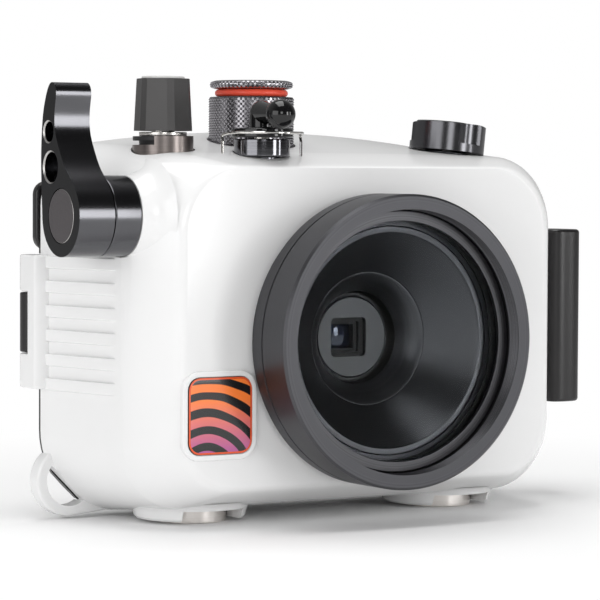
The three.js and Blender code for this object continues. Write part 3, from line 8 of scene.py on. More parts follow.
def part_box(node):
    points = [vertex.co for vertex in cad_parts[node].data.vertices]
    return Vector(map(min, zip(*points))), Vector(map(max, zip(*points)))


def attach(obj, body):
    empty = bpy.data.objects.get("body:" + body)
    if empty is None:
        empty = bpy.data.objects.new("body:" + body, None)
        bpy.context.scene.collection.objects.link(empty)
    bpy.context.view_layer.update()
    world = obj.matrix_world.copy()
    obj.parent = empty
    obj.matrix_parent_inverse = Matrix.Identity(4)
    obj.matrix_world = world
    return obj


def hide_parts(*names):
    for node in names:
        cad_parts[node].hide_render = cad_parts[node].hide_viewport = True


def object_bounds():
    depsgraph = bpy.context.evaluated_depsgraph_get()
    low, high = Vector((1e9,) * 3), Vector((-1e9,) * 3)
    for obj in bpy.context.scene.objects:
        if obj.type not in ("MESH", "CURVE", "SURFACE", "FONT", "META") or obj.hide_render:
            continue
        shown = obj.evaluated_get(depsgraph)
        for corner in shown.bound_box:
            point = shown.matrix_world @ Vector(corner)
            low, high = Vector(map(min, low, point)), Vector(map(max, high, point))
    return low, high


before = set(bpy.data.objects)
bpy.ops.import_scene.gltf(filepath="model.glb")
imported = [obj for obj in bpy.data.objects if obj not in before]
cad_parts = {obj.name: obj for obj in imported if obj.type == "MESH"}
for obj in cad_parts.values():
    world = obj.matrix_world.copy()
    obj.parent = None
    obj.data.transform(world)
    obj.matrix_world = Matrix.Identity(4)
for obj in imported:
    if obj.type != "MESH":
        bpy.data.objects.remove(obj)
cad_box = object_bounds()

# Camera, light and floor
#
# Every size below is in millimetres, measured from the middle of the port's front rim: x to the
# right, y to the back, z up. TO_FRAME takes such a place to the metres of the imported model.

port_low, port_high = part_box("port_barrel")
rim_centre = Vector(((port_low.x + port_high.x) / 2, port_low.y, (port_low.z + port_high.z) / 2))
TO_FRAME = Matrix.Translation(rim_centre) @ Matrix.Scale(0.001, 4)

VIEW_DISTANCE = 735.657
VIEW_AZIMUTH, VIEW_ELEVATION = 33.942, 3.378
VIEW_TURN, VIEW_TILT, VIEW_ROLL = -2.19, -0.824, 0.275
FOCAL_PIXELS, IMAGE_PIXELS, SENSOR = 2909.824, 600, 36


def view_direction(azimuth, elevation):
    """Direction in which a camera looks that stands at this azimuth and elevation, in degrees."""
    turn, rise = math.radians(azimuth), math.radians(elevation)
    return Vector((math.sin(turn) * math.cos(rise), math.cos(turn) * math.cos(rise), -math.sin(rise)))


scene = bpy.context.scene
camera = bpy.data.objects.new("photo_camera", bpy.data.cameras.new("photo_camera"))
scene.collection.objects.link(camera)
camera.data.sensor_width = SENSOR
camera.data.lens = FOCAL_PIXELS * SENSOR / IMAGE_PIXELS
forward = view_direction(VIEW_AZIMUTH + VIEW_TURN, VIEW_ELEVATION + VIEW_TILT)
level = forward.cross(Vector((0, 0, 1))).normalized()
across = Matrix.Rotation(math.radians(-VIEW_ROLL), 3, forward) @ level
upward = across.cross(forward)
camera_place = TO_FRAME @ (-VIEW_DISTANCE * view_direction(VIEW_AZIMUTH, VIEW_ELEVATION))
camera_turn = Matrix((across, upward, -forward)).transposed().to_4x4()
camera.matrix_world = Matrix.Translation(camera_place) @ camera_turn
scene.camera = camera
scene.view_settings.view_transform = "Standard"


def linear(code):
    """Colour of a hex code such as "#ececec", as the linear values that a shader reads."""
    shares = [int(code[start:start + 2], 16) / 255 for start in (1, 3, 5)]
    return [s / 12.92 if s <= 0.04045 else ((s + 0.055) / 1.055) ** 2.4 for s in shares] + [1]


def add_node(tree, kind, settings=None, links=None):
    """A node with its settings (attributes, or inputs by name or number) and its incoming links."""
    node = tree.nodes.new(kind)
    for key, value in (settings or {}).items():
        if isinstance(key, str) and hasattr(node, key):
            setattr(node, key, value)
        else:
            node.inputs[key].default_value = value
    for key, source in (links or {}).items():
        tree.links.new(source, node.inputs[key])
    return node


# The white sweep round the object: it is seen as white and gives an even light. Gloss mirrors it as
# a room does, grey behind the object and dark on the side where the photographer stands.
SWEEP_LIGHT = 0.42
ROOM_DARK, ROOM_PALE = 0.05, 0.35
DARK_HEADING, PALE_HEADING = -0.5, 0.6
world = bpy.data.worlds.new("white_sweep")
scene.world = world
world.use_nodes = True
sky = world.node_tree
sky.nodes.clear()
ray = add_node(sky, "ShaderNodeLightPath")
seen = add_node(sky, "ShaderNodeMath", {"operation": "MAXIMUM"},
                {0: ray.outputs["Is Camera Ray"], 1: ray.outputs["Is Transmission Ray"]})
direction = add_node(sky, "ShaderNodeTexCoord")
heading = add_node(sky, "ShaderNodeSeparateXYZ", {}, {0: direction.outputs["Generated"]})
mirrored = add_node(sky, "ShaderNodeMapRange",
                    {"interpolation_type": "SMOOTHSTEP", "From Min": DARK_HEADING, "From Max": PALE_HEADING,
                     "To Min": ROOM_DARK, "To Max": ROOM_PALE}, {"Value": heading.outputs["Y"]})
plain = add_node(sky, "ShaderNodeMix", {2: SWEEP_LIGHT, 3: 1.0}, {0: seen.outputs[0]})
strength = add_node(sky, "ShaderNodeMix", {}, {0: ray.outputs["Is Glossy Ray"], 2: plain.outputs[0],
                                               3: mirrored.outputs["Result"]})
sweep = add_node(sky, "ShaderNodeBackground", {"Color": (1, 1, 1, 1)}, {"Strength": strength.outputs[0]})
add_node(sky, "ShaderNodeOutputWorld", {}, {"Surface": sweep.outputs[0]})

HOUSING_MIDDLE = Vector((0, 35, 0))


def softbox(name, place, width, height, watts):
    """Diffused rectangular lamp that faces the middle of the housing. Sizes in millimetres."""
    lamp = bpy.data.lights.new(name, "AREA")
    lamp.shape = "RECTANGLE"
    lamp.size, lamp.size_y = width / 1000, height / 1000
    lamp.energy = watts
    box = bpy.data.objects.new(name, lamp)
    scene.collection.objects.link(box)
    towards = HOUSING_MIDDLE - Vector(place)
    turn = towards.to_track_quat("-Z", "Y").to_matrix().to_4x4()
    box.matrix_world = Matrix.Translation(TO_FRAME @ Vector(place)) @ turn


softbox("left_softbox", (-960, -260, 230), 800, 500, 2.75)
softbox("right_softbox", (360, -870, 150), 200, 360, 1.6)
softbox("right_strip", (760, -690, 150), 100, 360, 0.8)
softbox("front_softbox", (-420, -930, 260), 300, 300, 1.1)
softbox("top_softbox", (-50, 50, 950), 900, 600, 6.0)

# Floor of matt white paper: it keeps the object's shadow, and is plain white where that has faded.
# The tooth of the paper is in millimetres, and the floor's other sizes are in metres.
PAPER_TOOTH = 2.5
SHADOW_EDGE, SHADOW_END = 0.1, 0.26
FLOOR_HALF, FLOOR_GAP = 40, 0.00005
paper = bpy.data.materials.new("matt_white_paper")
paper.use_nodes = True
tree = paper.node_tree
shader = tree.nodes["Principled BSDF"]
shader.inputs["Roughness"].default_value = 0.9
shader.inputs["Specular IOR Level"].default_value = 0.1
coordinates = add_node(tree, "ShaderNodeTexCoord")
tooth = add_node(tree, "ShaderNodeTexNoise", {"Scale": 1000 / PAPER_TOOTH},
                 {"Vector": coordinates.outputs["Object"]})
tone = add_node(tree, "ShaderNodeMix", {"data_type": "RGBA", 6: linear("#fcfcfc"), 7: linear("#fdfdfd")},
                {0: tooth.outputs["Fac"]})
tree.links.new(tone.outputs[2], shader.inputs["Base Color"])
reach = add_node(tree, "ShaderNodeVectorMath", {"operation": "LENGTH"},
                 {0: coordinates.outputs["Object"]})
beyond = add_node(tree, "ShaderNodeMapRange",
                  {"interpolation_type": "SMOOTHSTEP", "From Min": SHADOW_EDGE, "From Max": SHADOW_END},
                  {"Value": reach.outputs["Value"]})
ray = add_node(tree, "ShaderNodeLightPath")
plain = add_node(tree, "ShaderNodeMath", {"operation": "MULTIPLY"},
                 {0: beyond.outputs["Result"], 1: ray.outputs["Is Camera Ray"]})
white = add_node(tree, "ShaderNodeEmission", {"Color": (1, 1, 1, 1), "Strength": 1.0})
mixed = add_node(tree, "ShaderNodeMixShader", {}, {0: plain.outputs[0], 1: shader.outputs["BSDF"],
                                                   2: white.outputs[0]})
tree.links.new(mixed.outputs[0], tree.nodes["Material Output"].inputs["Surface"])
bm = bmesh.new()
bmesh.ops.create_grid(bm, x_segments=1, y_segments=1, size=FLOOR_HALF)
bmesh.ops.translate(bm, verts=bm.verts, vec=(0, 0, cad_box[0].z - FLOOR_GAP))
floor_mesh = bpy.data.meshes.new("floor")
bm.to_mesh(floor_mesh)
bm.free()
floor_mesh.materials.append(paper)
floor = bpy.data.objects.new("floor", floor_mesh)
scene.collection.objects.link(floor)

# Compact camera
#
# The camera that the housing is made for: an alloy body with a textured black coat, a glass screen
# on its back, two buttons on its top, and a short lens behind a metal face with a square window.

# Points closer than this are merged, and an edge that turns by more degrees than this is a real edge
DOUBLE = 0.001
SHARP_ANGLE = 32

# How far a cutting tool reaches past what it cuts, or a joined form into its neighbour
OVERLAP = 1


def ease_edges(bm, radius, segments=3, corner=SHARP_ANGLE):
    """Rounds every edge that turns by more than the corner, in degrees."""
    sharp = [edge for edge in bm.edges
             if len(edge.link_faces) == 2 and edge.calc_face_angle(0) > math.radians(corner)]
    bmesh.ops.bevel(bm, geom=sharp, offset=radius, offset_type="OFFSET", segments=segments, profile=0.5,
                    affect="EDGES", clamp_overlap=True, material=-1)
    return bm


def turned(profile, axis, centre, steps=96):
    """Solid turned from a profile of [radius, distance along the axis] points."""
    bm = bmesh.new()
    along = Vector(axis).normalized()
    out = along.orthogonal().normalized()
    points = [bm.verts.new(Vector(centre) + along * distance + out * radius)
              for radius, distance in profile]
    for first, second in zip(points, points[1:]):
        bm.edges.new((first, second))
    if profile[0][0] > 0 or profile[-1][0] > 0:
        bm.edges.new((points[-1], points[0]))
    bmesh.ops.spin(bm, geom=bm.verts[:] + bm.edges[:], cent=centre, axis=along, dvec=(0, 0, 0),
                   angle=2 * math.pi, steps=steps, use_merge=True, use_duplicate=False)
    bmesh.ops.remove_doubles(bm, verts=bm.verts, dist=DOUBLE)
    bmesh.ops.recalc_face_normals(bm, faces=bm.faces)
    return bm


def rod(radius, low, high, axis, centre, steps=64):
    """Plain round rod between two distances along its axis."""
    return turned([[0, low], [radius, low], [radius, high], [0, high]], axis, centre, steps)


def tube(bore, radius, low, high, axis, centre, steps=96):
    """Ring or tube between two distances along its axis."""
    return turned([[bore, low], [radius, low], [radius, high], [bore, high]], axis, centre, steps)


def flanged(bore, shank, flange, end, seat, face, axis, centre, steps=96):
    """Bush whose shank runs from its end to the seat, and its flange from there to the face."""
    return turned([[bore, end], [shank, end], [shank, seat], [flange, seat], [flange, face],
                   [bore, face]], axis, centre, steps)


def arc(u, v, radius, start, end, steps=8):
    """Points of an arc round (u, v), from one angle to another, in degrees."""
    angles = [math.radians(start + (end - start) * step / steps) for step in range(steps + 1)]
    return [(u + radius * math.cos(a), v + radius * math.sin(a)) for a in angles]


def rounded_rectangle(width, height, radius, u=0, v=0, steps=6):
    """Outline of a rectangle with round corners, about (u, v)."""
    reach_u, reach_v = width / 2 - radius, height / 2 - radius
    corners = [(1, 1, 0), (-1, 1, 90), (-1, -1, 180), (1, -1, 270)]
    return [point for side, rise, start in corners
            for point in arc(u + side * reach_u, v + rise * reach_v, radius, start, start + 90, steps)]


AXES = {"x": Vector((1, 0, 0)), "y": Vector((0, 1, 0)), "z": Vector((0, 0, 1))}


def drawn_out(outline, axis, low, high):
    """Solid drawn out along an axis from a flat outline in the other two axes' order."""
    bm = bmesh.new()
    places = {"x": lambda u, v: (low, u, v), "y": lambda u, v: (u, low, v),
              "z": lambda u, v: (u, v, low)}
    face = bm.faces.new([bm.verts.new(places[axis](u, v)) for u, v in outline])
    grown = bmesh.ops.extrude_face_region(bm, geom=[face])["geom"]
    moved = [element for element in grown if isinstance(element, bmesh.types.BMVert)]
    bmesh.ops.translate(bm, verts=moved, vec=AXES[axis] * (high - low))
    bmesh.ops.remove_doubles(bm, verts=bm.verts, dist=DOUBLE)
    bmesh.ops.recalc_face_normals(bm, faces=bm.faces)
    return bm


def block(x, y, z):
    """Straight block between two places on each axis."""
    return drawn_out([(x[0], y[0]), (x[1], y[0]), (x[1], y[1]), (x[0], y[1])], "z", z[0], z[1])


def gathered(*parts):
    """One mesh of several."""
    whole = bmesh.new()
    for part in parts:
        mesh = bpy.data.meshes.new("part")
        part.to_mesh(mesh)
        whole.from_mesh(mesh)
        bpy.data.meshes.remove(mesh)
        part.free()
    return whole


def workpiece(bm):
    """Object that stands in the scene only while one solid shapes another."""
    mesh = bpy.data.meshes.new("workpiece")
    bm.to_mesh(mesh)
    bm.free()
    obj = bpy.data.objects.new("workpiece", mesh)
    scene.collection.objects.link(obj)
    return obj


def shaped(body, tools, operation):
    """The body with each tool joined (UNION), cut off (DIFFERENCE) or kept where they meet (INTERSECT)."""
    objects = [workpiece(body)]
    for tool in tools:
        objects.append(workpiece(tool))
        step = objects[0].modifiers.new("step", "BOOLEAN")
        step.operation = operation
        step.solver = "EXACT"
        step.object = objects[-1]
    evaluated = objects[0].evaluated_get(bpy.context.evaluated_depsgraph_get())
    result = bmesh.new()
    result.from_mesh(evaluated.to_mesh())
    for obj in objects:
        bpy.data.meshes.remove(obj.data)
    return result


# Cuts and bevels leave slivers open. They are merged, or filled where they have few sides.
SLIVER_SIDES = 8


def finish_piece(bm, name, material, body, slot, *nodes, sharp=SHARP_ANGLE):
    """Object of a finished mesh: in its place, riding on its body, for the nodes it replaces."""
    bmesh.ops.remove_doubles(bm, verts=bm.verts, dist=DOUBLE)
    openings = [edge for edge in bm.edges if edge.is_boundary]
    bmesh.ops.holes_fill(bm, edges=openings, sides=SLIVER_SIDES)
    bmesh.ops.recalc_face_normals(bm, faces=bm.faces)
    bmesh.ops.transform(bm, matrix=TO_FRAME, verts=bm.verts)
    mesh = bpy.data.meshes.new(name)
    bm.to_mesh(mesh)
    bm.free()
    mesh.shade_smooth()
    mesh.set_sharp_from_angle(angle=math.radians(sharp))
    mesh.materials.append(material)
    piece = bpy.data.objects.new(name, mesh)
    scene.collection.objects.link(piece)
    smoothing = piece.modifiers.new("face_weighted_shading", "WEIGHTED_NORMAL")
    smoothing.keep_sharp = True
    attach(piece, body)
    if nodes:
        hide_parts(*nodes)
    return piece


def new_material(name):
    """Material with a shader, and its node tree."""
    material = bpy.data.materials.new(name)
    material.use_nodes = True
    return material, material.node_tree, material.node_tree.nodes["Principled BSDF"]


def toned(tree, shader, pattern, colours, roughness):
    """Colour and roughness follow a pattern, each from its first value to its second."""
    colour = add_node(tree, "ShaderNodeMix",
                      {"data_type": "RGBA", 6: linear(colours[0]), 7: linear(colours[1])}, {0: pattern})
    gloss = add_node(tree, "ShaderNodeMapRange", {"To Min": roughness[0], "To Max": roughness[1]},
                     {"Value": pattern})
    tree.links.new(colour.outputs[2], shader.inputs["Base Color"])
    tree.links.new(gloss.outputs["Result"], shader.inputs["Roughness"])


def grained(name, colours, patch, roughness, grain, relief, metallic=0.0):
    """Plastic, rubber or plain metal: two close colours in patches, and a fine grain, in millimetres."""
    material, tree, shader = new_material(name)
    shader.inputs["Metallic"].default_value = metallic
    coordinates = add_node(tree, "ShaderNodeTexCoord")
    patches = add_node(tree, "ShaderNodeTexNoise", {"Scale": 1000 / patch, "Detail": 3.0},
                       {"Vector": coordinates.outputs["Object"]})
    toned(tree, shader, patches.outputs["Fac"], colours, roughness)
    texture = add_node(tree, "ShaderNodeTexNoise", {"Scale": 1000 / grain, "Detail": 2.0},
                       {"Vector": coordinates.outputs["Object"]})
    bump = add_node(tree, "ShaderNodeBump", {"Strength": 1.0, "Distance": relief / 1000},
                    {"Height": texture.outputs["Fac"]})
    tree.links.new(bump.outputs["Normal"], shader.inputs["Normal"])
    return material


def turned_metal(name, colours, roughness, pitch, relief, axis, centre, metallic=1.0):
    """Metal with the fine lines that a lathe leaves round an axis. Sizes in millimetres."""
    material, tree, shader = new_material(name)
    shader.inputs["Metallic"].default_value = metallic
    coordinates = add_node(tree, "ShaderNodeTexCoord")
    middle = TO_FRAME @ Vector(centre)
    centred = add_node(tree, "ShaderNodeVectorMath", {"operation": "SUBTRACT", 1: middle},
                       {0: coordinates.outputs["Object"]})
    sideways = add_node(tree, "ShaderNodeVectorMath", {"operation": "CROSS_PRODUCT", 1: Vector(axis)},
                        {0: centred.outputs["Vector"]})
    radius = add_node(tree, "ShaderNodeVectorMath", {"operation": "LENGTH"},
                      {0: sideways.outputs["Vector"]})
    along = add_node(tree, "ShaderNodeVectorMath", {"operation": "DOT_PRODUCT", 1: Vector(axis)},
                     {0: centred.outputs["Vector"]})
    travel = add_node(tree, "ShaderNodeMath", {"operation": "ADD"},
                      {0: radius.outputs["Value"], 1: along.outputs["Value"]})
    lines = add_node(tree, "ShaderNodeTexNoise",
                     {"noise_dimensions": "1D", "Scale": 1000 / pitch, "Detail": 1.0},
                     {"W": travel.outputs["Value"]})
    toned(tree, shader, lines.outputs["Fac"], colours, roughness)
    bump = add_node(tree, "ShaderNodeBump", {"Strength": 1.0, "Distance": relief / 1000},
                    {"Height": lines.outputs["Fac"]})
    tree.links.new(bump.outputs["Normal"], shader.inputs["Normal"])
    return material


def dress(material, *nodes):
    """The CAD nodes that stay as they are get this material."""
    for name in nodes:
        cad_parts[name].material_slots[0].material = material


CAMERA_X, CAMERA_DEPTH, CAMERA_HEIGHT = (-58, 47), (38, 60), (-29, 30)
CAMERA_CORNER, CAMERA_EDGE = 8, 1.2
TOP_BUTTONS, TOP_BUTTON_RADIUS, TOP_BUTTON_HEIGHT = [(-52.5, 48.5), (-48.4, 42)], 3.4, (29.5, 30.8)
SCREEN_WIDTH, SCREEN_TALL, SCREEN_CORNER, SCREEN_X, SCREEN_DEPTH = 66, 45, 1.5, 9, (60.1, 60.9)
PORT_AXIS = (0, 1, 0)
RIM_MIDDLE = (0, 0, 0)

# The coat is matt and finely rough, and the screen is black glass with a clear gloss
coated_alloy = grained("coated_camera_alloy", ["#1f1f21", "#29292b"], 12, (0.5, 0.62), 0.25, 0.02)
screen_glass = grained("camera_screen_glass", ["#0c0d10", "#121318"], 20, (0.05, 0.12), 5, 0.002)

plan = rounded_rectangle(CAMERA_X[1] - CAMERA_X[0], CAMERA_DEPTH[1] - CAMERA_DEPTH[0], CAMERA_CORNER,
                         sum(CAMERA_X) / 2, sum(CAMERA_DEPTH) / 2)
body = ease_edges(drawn_out(plan, "z", *CAMERA_HEIGHT), CAMERA_EDGE)
buttons = [ease_edges(rod(TOP_BUTTON_RADIUS, *TOP_BUTTON_HEIGHT, AXES["z"], (x, y, 0), 48), 0.3)
           for x, y in TOP_BUTTONS]
finish_piece(gathered(body, *buttons), "camera_case", coated_alloy, "housing", "camera_black",
             "camera_body")

pane = drawn_out(rounded_rectangle(SCREEN_WIDTH, SCREEN_TALL, SCREEN_CORNER, SCREEN_X), "y", *SCREEN_DEPTH)
finish_piece(ease_edges(pane, 0.25), "camera_screen_pane", screen_glass, "housing", "gloss_black",
             "camera_screen")

LENS_BORE, FACE_SEAT_RADIUS, LENS_TUBE_RADIUS, LENS_MOUNT_RADIUS = 8, 10.56, 11.6, 20
LENS_TUBE_FRONT, FACE_SEAT_DEPTH, LENS_MOUNT_FRONT, LENS_MOUNT_BACK = 28.4, 29.4, 34, 37.9
# Black anodised barrel: satin, with fine lines that catch the light in rings
lens_barrel_metal = turned_metal("camera_lens_barrel", ["#1c1c1e", "#262628"], (0.35, 0.5), 0.3, 0.01,
                                 PORT_AXIS, RIM_MIDDLE, 0.5)
barrel = turned([[FACE_SEAT_RADIUS, LENS_TUBE_FRONT], [LENS_TUBE_RADIUS, LENS_TUBE_FRONT],
                 [LENS_TUBE_RADIUS, LENS_MOUNT_FRONT], [LENS_MOUNT_RADIUS, LENS_MOUNT_FRONT],
                 [LENS_MOUNT_RADIUS, LENS_MOUNT_BACK], [LENS_BORE, LENS_MOUNT_BACK],
                 [LENS_BORE, FACE_SEAT_DEPTH], [FACE_SEAT_RADIUS, FACE_SEAT_DEPTH]], PORT_AXIS, RIM_MIDDLE)
finish_piece(ease_edges(barrel, 0.2), "camera_lens_barrel", lens_barrel_metal, "housing", "camera_black",
             "camera_lens_tube")

# The lens face is a satin disc with a square window, which narrows to the glass behind it
LENS_FACE_RADIUS, LENS_FACE_FRONT, LENS_FACE_BACK = 10.26, 28.1, 29.3
WINDOW_X, WINDOW_SIZE, WINDOW_CORNER = -0.9, (10.8, 10.2), 1.2
face_metal = grained("satin_lens_face", ["#525254", "#5c5c5e"], 6, (0.42, 0.5), 0.2, 0.01)
funnel_plastic = grained("matt_black_funnel", ["#0b0b0c", "#121213"], 3, (0.45, 0.6), 0.2, 0.01)
disc = rod(LENS_FACE_RADIUS, LENS_FACE_FRONT, LENS_FACE_BACK, PORT_AXIS, RIM_MIDDLE, 96)
opening = drawn_out(rounded_rectangle(*WINDOW_SIZE, WINDOW_CORNER, WINDOW_X), "y",
                    LENS_FACE_FRONT - OVERLAP, LENS_FACE_BACK + OVERLAP)
face = ease_edges(shaped(disc, [opening], "DIFFERENCE"), 0.15, segments=2)
finish_piece(face, "camera_lens_plate", face_metal, "housing", "satin_grey", "camera_lens_face")


def skin(rings, closed=True):
    """Surface through rings of points with the same count, closed at both ends unless left open."""
    bm = bmesh.new()
    loops = []
    for ring in rings:
        points = [bm.verts.new(point) for point in ring]
        loops.append([bm.edges.new(pair) for pair in zip(points, points[1:] + points[:1])])
    for first, second in zip(loops, loops[1:]):
        bmesh.ops.bridge_loops(bm, edges=first + second)
    if closed:
        bmesh.ops.edgeloop_fill(bm, edges=loops[0])
        bmesh.ops.edgeloop_fill(bm, edges=loops[-1])
    bmesh.ops.recalc_face_normals(bm, faces=bm.faces)
    return bm


# How far each step of the funnel is drawn in from the window, and its depth
FUNNEL_STEPS = [(0.02, 28.4), (0.02, 29.6), (1.1, 29.9), (1.1, 31.2), (1.9, 31.4), (2.0, 33.2)]
FUNNEL_CORNER, FUNNEL_WALL = 0.4, 0.3


def window_ring(shrink, depth):
    """Outline of the lens window, drawn in by shrink, at one depth."""
    outline = rounded_rectangle(WINDOW_SIZE[0] - 2 * shrink, WINDOW_SIZE[1] - 2 * shrink,
                                max(WINDOW_CORNER - shrink / 2, FUNNEL_CORNER), WINDOW_X)
    return [(u, depth, v) for u, v in outline]


wall_inside = skin([window_ring(shrink, depth) for shrink, depth in FUNNEL_STEPS], closed=False)
bmesh.ops.solidify(wall_inside, geom=wall_inside.faces[:], thickness=-FUNNEL_WALL)
finish_piece(wall_inside, "camera_lens_funnel", funnel_plastic, "housing", "camera_black")

# Coated glass: almost black. The blue in its colour and coat tint is a painted reflection, which stands in
# for the blue that the coating turns back
COATING_PATCH = 8.333
LENS_RADIUS, LENS_BULGE, LENS_EDGE, LENS_RIM = 4.6, 1.6, 34, 0.2
coated_glass, tree, shader = new_material("coated_lens_glass")
coordinates = add_node(tree, "ShaderNodeTexCoord")
cloud = add_node(tree, "ShaderNodeTexNoise", {"Scale": 1000 / COATING_PATCH},
                 {"Vector": coordinates.outputs["Object"]})
# Almost black to dark blue in patches: the blue is a painted reflection
tint = add_node(tree, "ShaderNodeMix", {"data_type": "RGBA", 6: linear("#05070e"), 7: linear("#0b1528")},
                {0: cloud.outputs["Fac"]})
tree.links.new(tint.outputs[2], shader.inputs["Base Color"])
shader.inputs["Roughness"].default_value = 0.04
shader.inputs["Coat Weight"].default_value = 0.4
# The blue coat tint is part of the painted reflection
shader.inputs["Coat Tint"].default_value = linear("#88b4ff")
dome = [[LENS_RADIUS * math.cos(math.radians(a)), LENS_EDGE - LENS_BULGE * math.sin(math.radians(a))]
        for a in range(0, 91, 10)]
glass = turned([[0, LENS_EDGE + LENS_RIM], [LENS_RADIUS, LENS_EDGE + LENS_RIM], *dome], PORT_AXIS,
               (WINDOW_X, 0, 0), 48)
finish_piece(glass, "camera_lens_glass", coated_glass, "housing", "gloss_black", sharp=60)

# Moulded tray: matt black with a broad faint sheen
tray_plastic = grained("black_tray_plastic", ["#19191b", "#202022"], 10, (0.4, 0.5), 0.4, 0.02)
dress(tray_plastic, "camera_tray")

# Shell
#
# Injection-moulded white plastic, glossy from a polished mould: a box with a rounded front, a
# shoulder and a flare to the door, with its ribs, lugs, eyelets and bosses moulded in one piece.

FRONT_DEPTH = 18
SHOULDER = {"depth": 33, "half": 65.3, "top": 48, "bottom": -42.9, "sag": 0.8, "low": 17}
RIM = {"depth": 64.5, "half": 71.9, "top": 53.5, "bottom": -46.1, "sag": 4.7, "low": 22}
TOP_RADIUS = 17
ARCH_CENTRE, ARCH_SPAN = -8.4, 60
SIDE_ROUNDING, TOP_ROUNDING, BOTTOM_ROUNDING = 6.7, 1.2, 4.5
WALL = 3.2
ROOF_HEIGHT = 44.4
SEAT_GAP, FIT_GAP = 0.1, 0.3

# How much of the rounded front's inset is left at each share of its depth, from front to shoulder
ROUNDING = [(0.0, 1.17), (0.006, 1.08), (0.02, 0.99), (0.042, 0.91), (0.075, 0.83), (0.16, 0.71),
            (0.3, 0.555), (0.47, 0.385), (0.65, 0.22), (0.8, 0.1), (0.92, 0.03), (1.0, 0.0)]
SIDE_STEPS = 6


def section(depth):
    """Sizes of the shell at a depth, in line with its shoulder and its rim."""
    share = (depth - SHOULDER["depth"]) / (RIM["depth"] - SHOULDER["depth"])
    sizes = {key: SHOULDER[key] + (RIM[key] - SHOULDER[key]) * share for key in SHOULDER}
    sizes["sag"] = max(0, sizes["sag"])
    return sizes


def drawn_in(sizes, inset):
    """The same section, smaller by an inset all round."""
    return {**sizes, "half": sizes["half"] - inset, "top": sizes["top"] - inset,
            "bottom": sizes["bottom"] + inset, "low": sizes["low"] - inset}


def shell_ring(sizes, top_radius=TOP_RADIUS, corner_steps=14, arch_steps=16):
    """Outline at one depth: an arched roof, round corners and a flat floor."""
    def slope(x):
        return math.degrees(math.atan(2 * sizes["sag"] * (x - ARCH_CENTRE) / ARCH_SPAN ** 2))

    def arch(x):
        return sizes["top"] - sizes["sag"] * ((x - ARCH_CENTRE) / ARCH_SPAN) ** 2

    half, low = sizes["half"], sizes["low"]
    reach = half - top_radius
    left = -reach + top_radius * math.sin(math.radians(slope(-reach)))
    right = reach + top_radius * math.sin(math.radians(slope(reach)))
    left_height = arch(left) - top_radius * math.cos(math.radians(slope(-reach)))
    right_height = arch(right) - top_radius * math.cos(math.radians(slope(reach)))
    points = arc(low - half, sizes["bottom"] + low, low, 270, 180, corner_steps)
    points += arc(-reach, left_height, top_radius, 180, 90 - slope(-reach), corner_steps)
    for step in range(1, arch_steps):
        x = left + (right - left) * step / arch_steps
        points.append((x, arch(x)))
    points += arc(reach, right_height, top_radius, 90 - slope(reach), 0, corner_steps)
    points += arc(half - low, sizes["bottom"] + low, low, 0, -90, corner_steps)
    return [(x, sizes["depth"], z) for x, z in points]


def front_section(share, inset):
    """Section of the rounded front, by its share of the depth to the shoulder."""
    sizes = section(FRONT_DEPTH + (SHOULDER["depth"] - FRONT_DEPTH) * share)
    return {**sizes, "half": sizes["half"] - SIDE_ROUNDING * inset,
            "top": sizes["top"] - TOP_ROUNDING * inset,
            "bottom": sizes["bottom"] + BOTTOM_ROUNDING * inset}


# Polished plastic: an even white under a clear gloss, barely uneven where it shrank in the mould
white_plastic = grained("polished_white_plastic", ["#eaeaea", "#efefef"], 45, (0.1, 0.16), 9, 0.006)

outer_rings = [shell_ring(front_section(share, inset)) for share, inset in ROUNDING]
for step in range(1, SIDE_STEPS + 1):
    depth = SHOULDER["depth"] + (RIM["depth"] - SHOULDER["depth"]) * step / SIDE_STEPS
    outer_rings.append(shell_ring(section(depth)))
outside = skin(outer_rings)


def cavity_section(depth):
    """Inside of the wall at a depth, under the flat ceiling that the controls hang from."""
    return {**drawn_in(section(depth), WALL), "top": ROOF_HEIGHT, "sag": 0}


def door_slab(inset, low, high):
    """Slab of the rim's outline, drawn in by an inset."""
    outline = drawn_in(RIM, inset)
    return skin([shell_ring({**outline, "depth": depth}, TOP_RADIUS - inset) for depth in (low, high)])


LAND_DEPTH, LAND_WIDTH = 4, 8
front_inside = cavity_section(FRONT_DEPTH + WALL)
front_inside["half"] -= SIDE_ROUNDING
front_inside["bottom"] += BOTTOM_ROUNDING / 2
cavity_sections = [front_inside, cavity_section(SHOULDER["depth"]),
                   cavity_section(RIM["depth"] - LAND_DEPTH)]
cavity = skin([shell_ring(sizes, TOP_RADIUS - WALL) for sizes in cavity_sections])
mouth = door_slab(LAND_WIDTH, RIM["depth"] - LAND_DEPTH - OVERLAP, RIM["depth"] + OVERLAP)

# Six finger ribs along the left wall
RIB_COUNT, RIB_PITCH, RIB_WIDTH, RIB_TOP = 6, 6.28, 3.14, 21
RIB_RISE, RIB_FADE, RIB_EDGE = 0.9, 3.5, 0.7


def left_wall(depth, rise):
    """Place of the left wall at a depth, for a form that rises from it."""
    return -section(depth)["half"] - rise


rib_front, rib_back = SHOULDER["depth"], RIM["depth"] - FIT_GAP
rib_full = rib_front + RIB_FADE
rib_plan = [(left_wall(rib_front, -RIB_RISE), rib_front), (left_wall(rib_full, RIB_RISE), rib_full),
            (left_wall(rib_back, RIB_RISE), rib_back), (left_wall(rib_back, -WALL / 2), rib_back),
            (left_wall(rib_front, -WALL / 2), rib_front)]
ribs = []
for number in range(RIB_COUNT):
    rib_top = RIB_TOP - number * RIB_PITCH
    ribs.append(ease_edges(drawn_out(rib_plan, "z", rib_top - RIB_WIDTH, rib_top), RIB_EDGE))

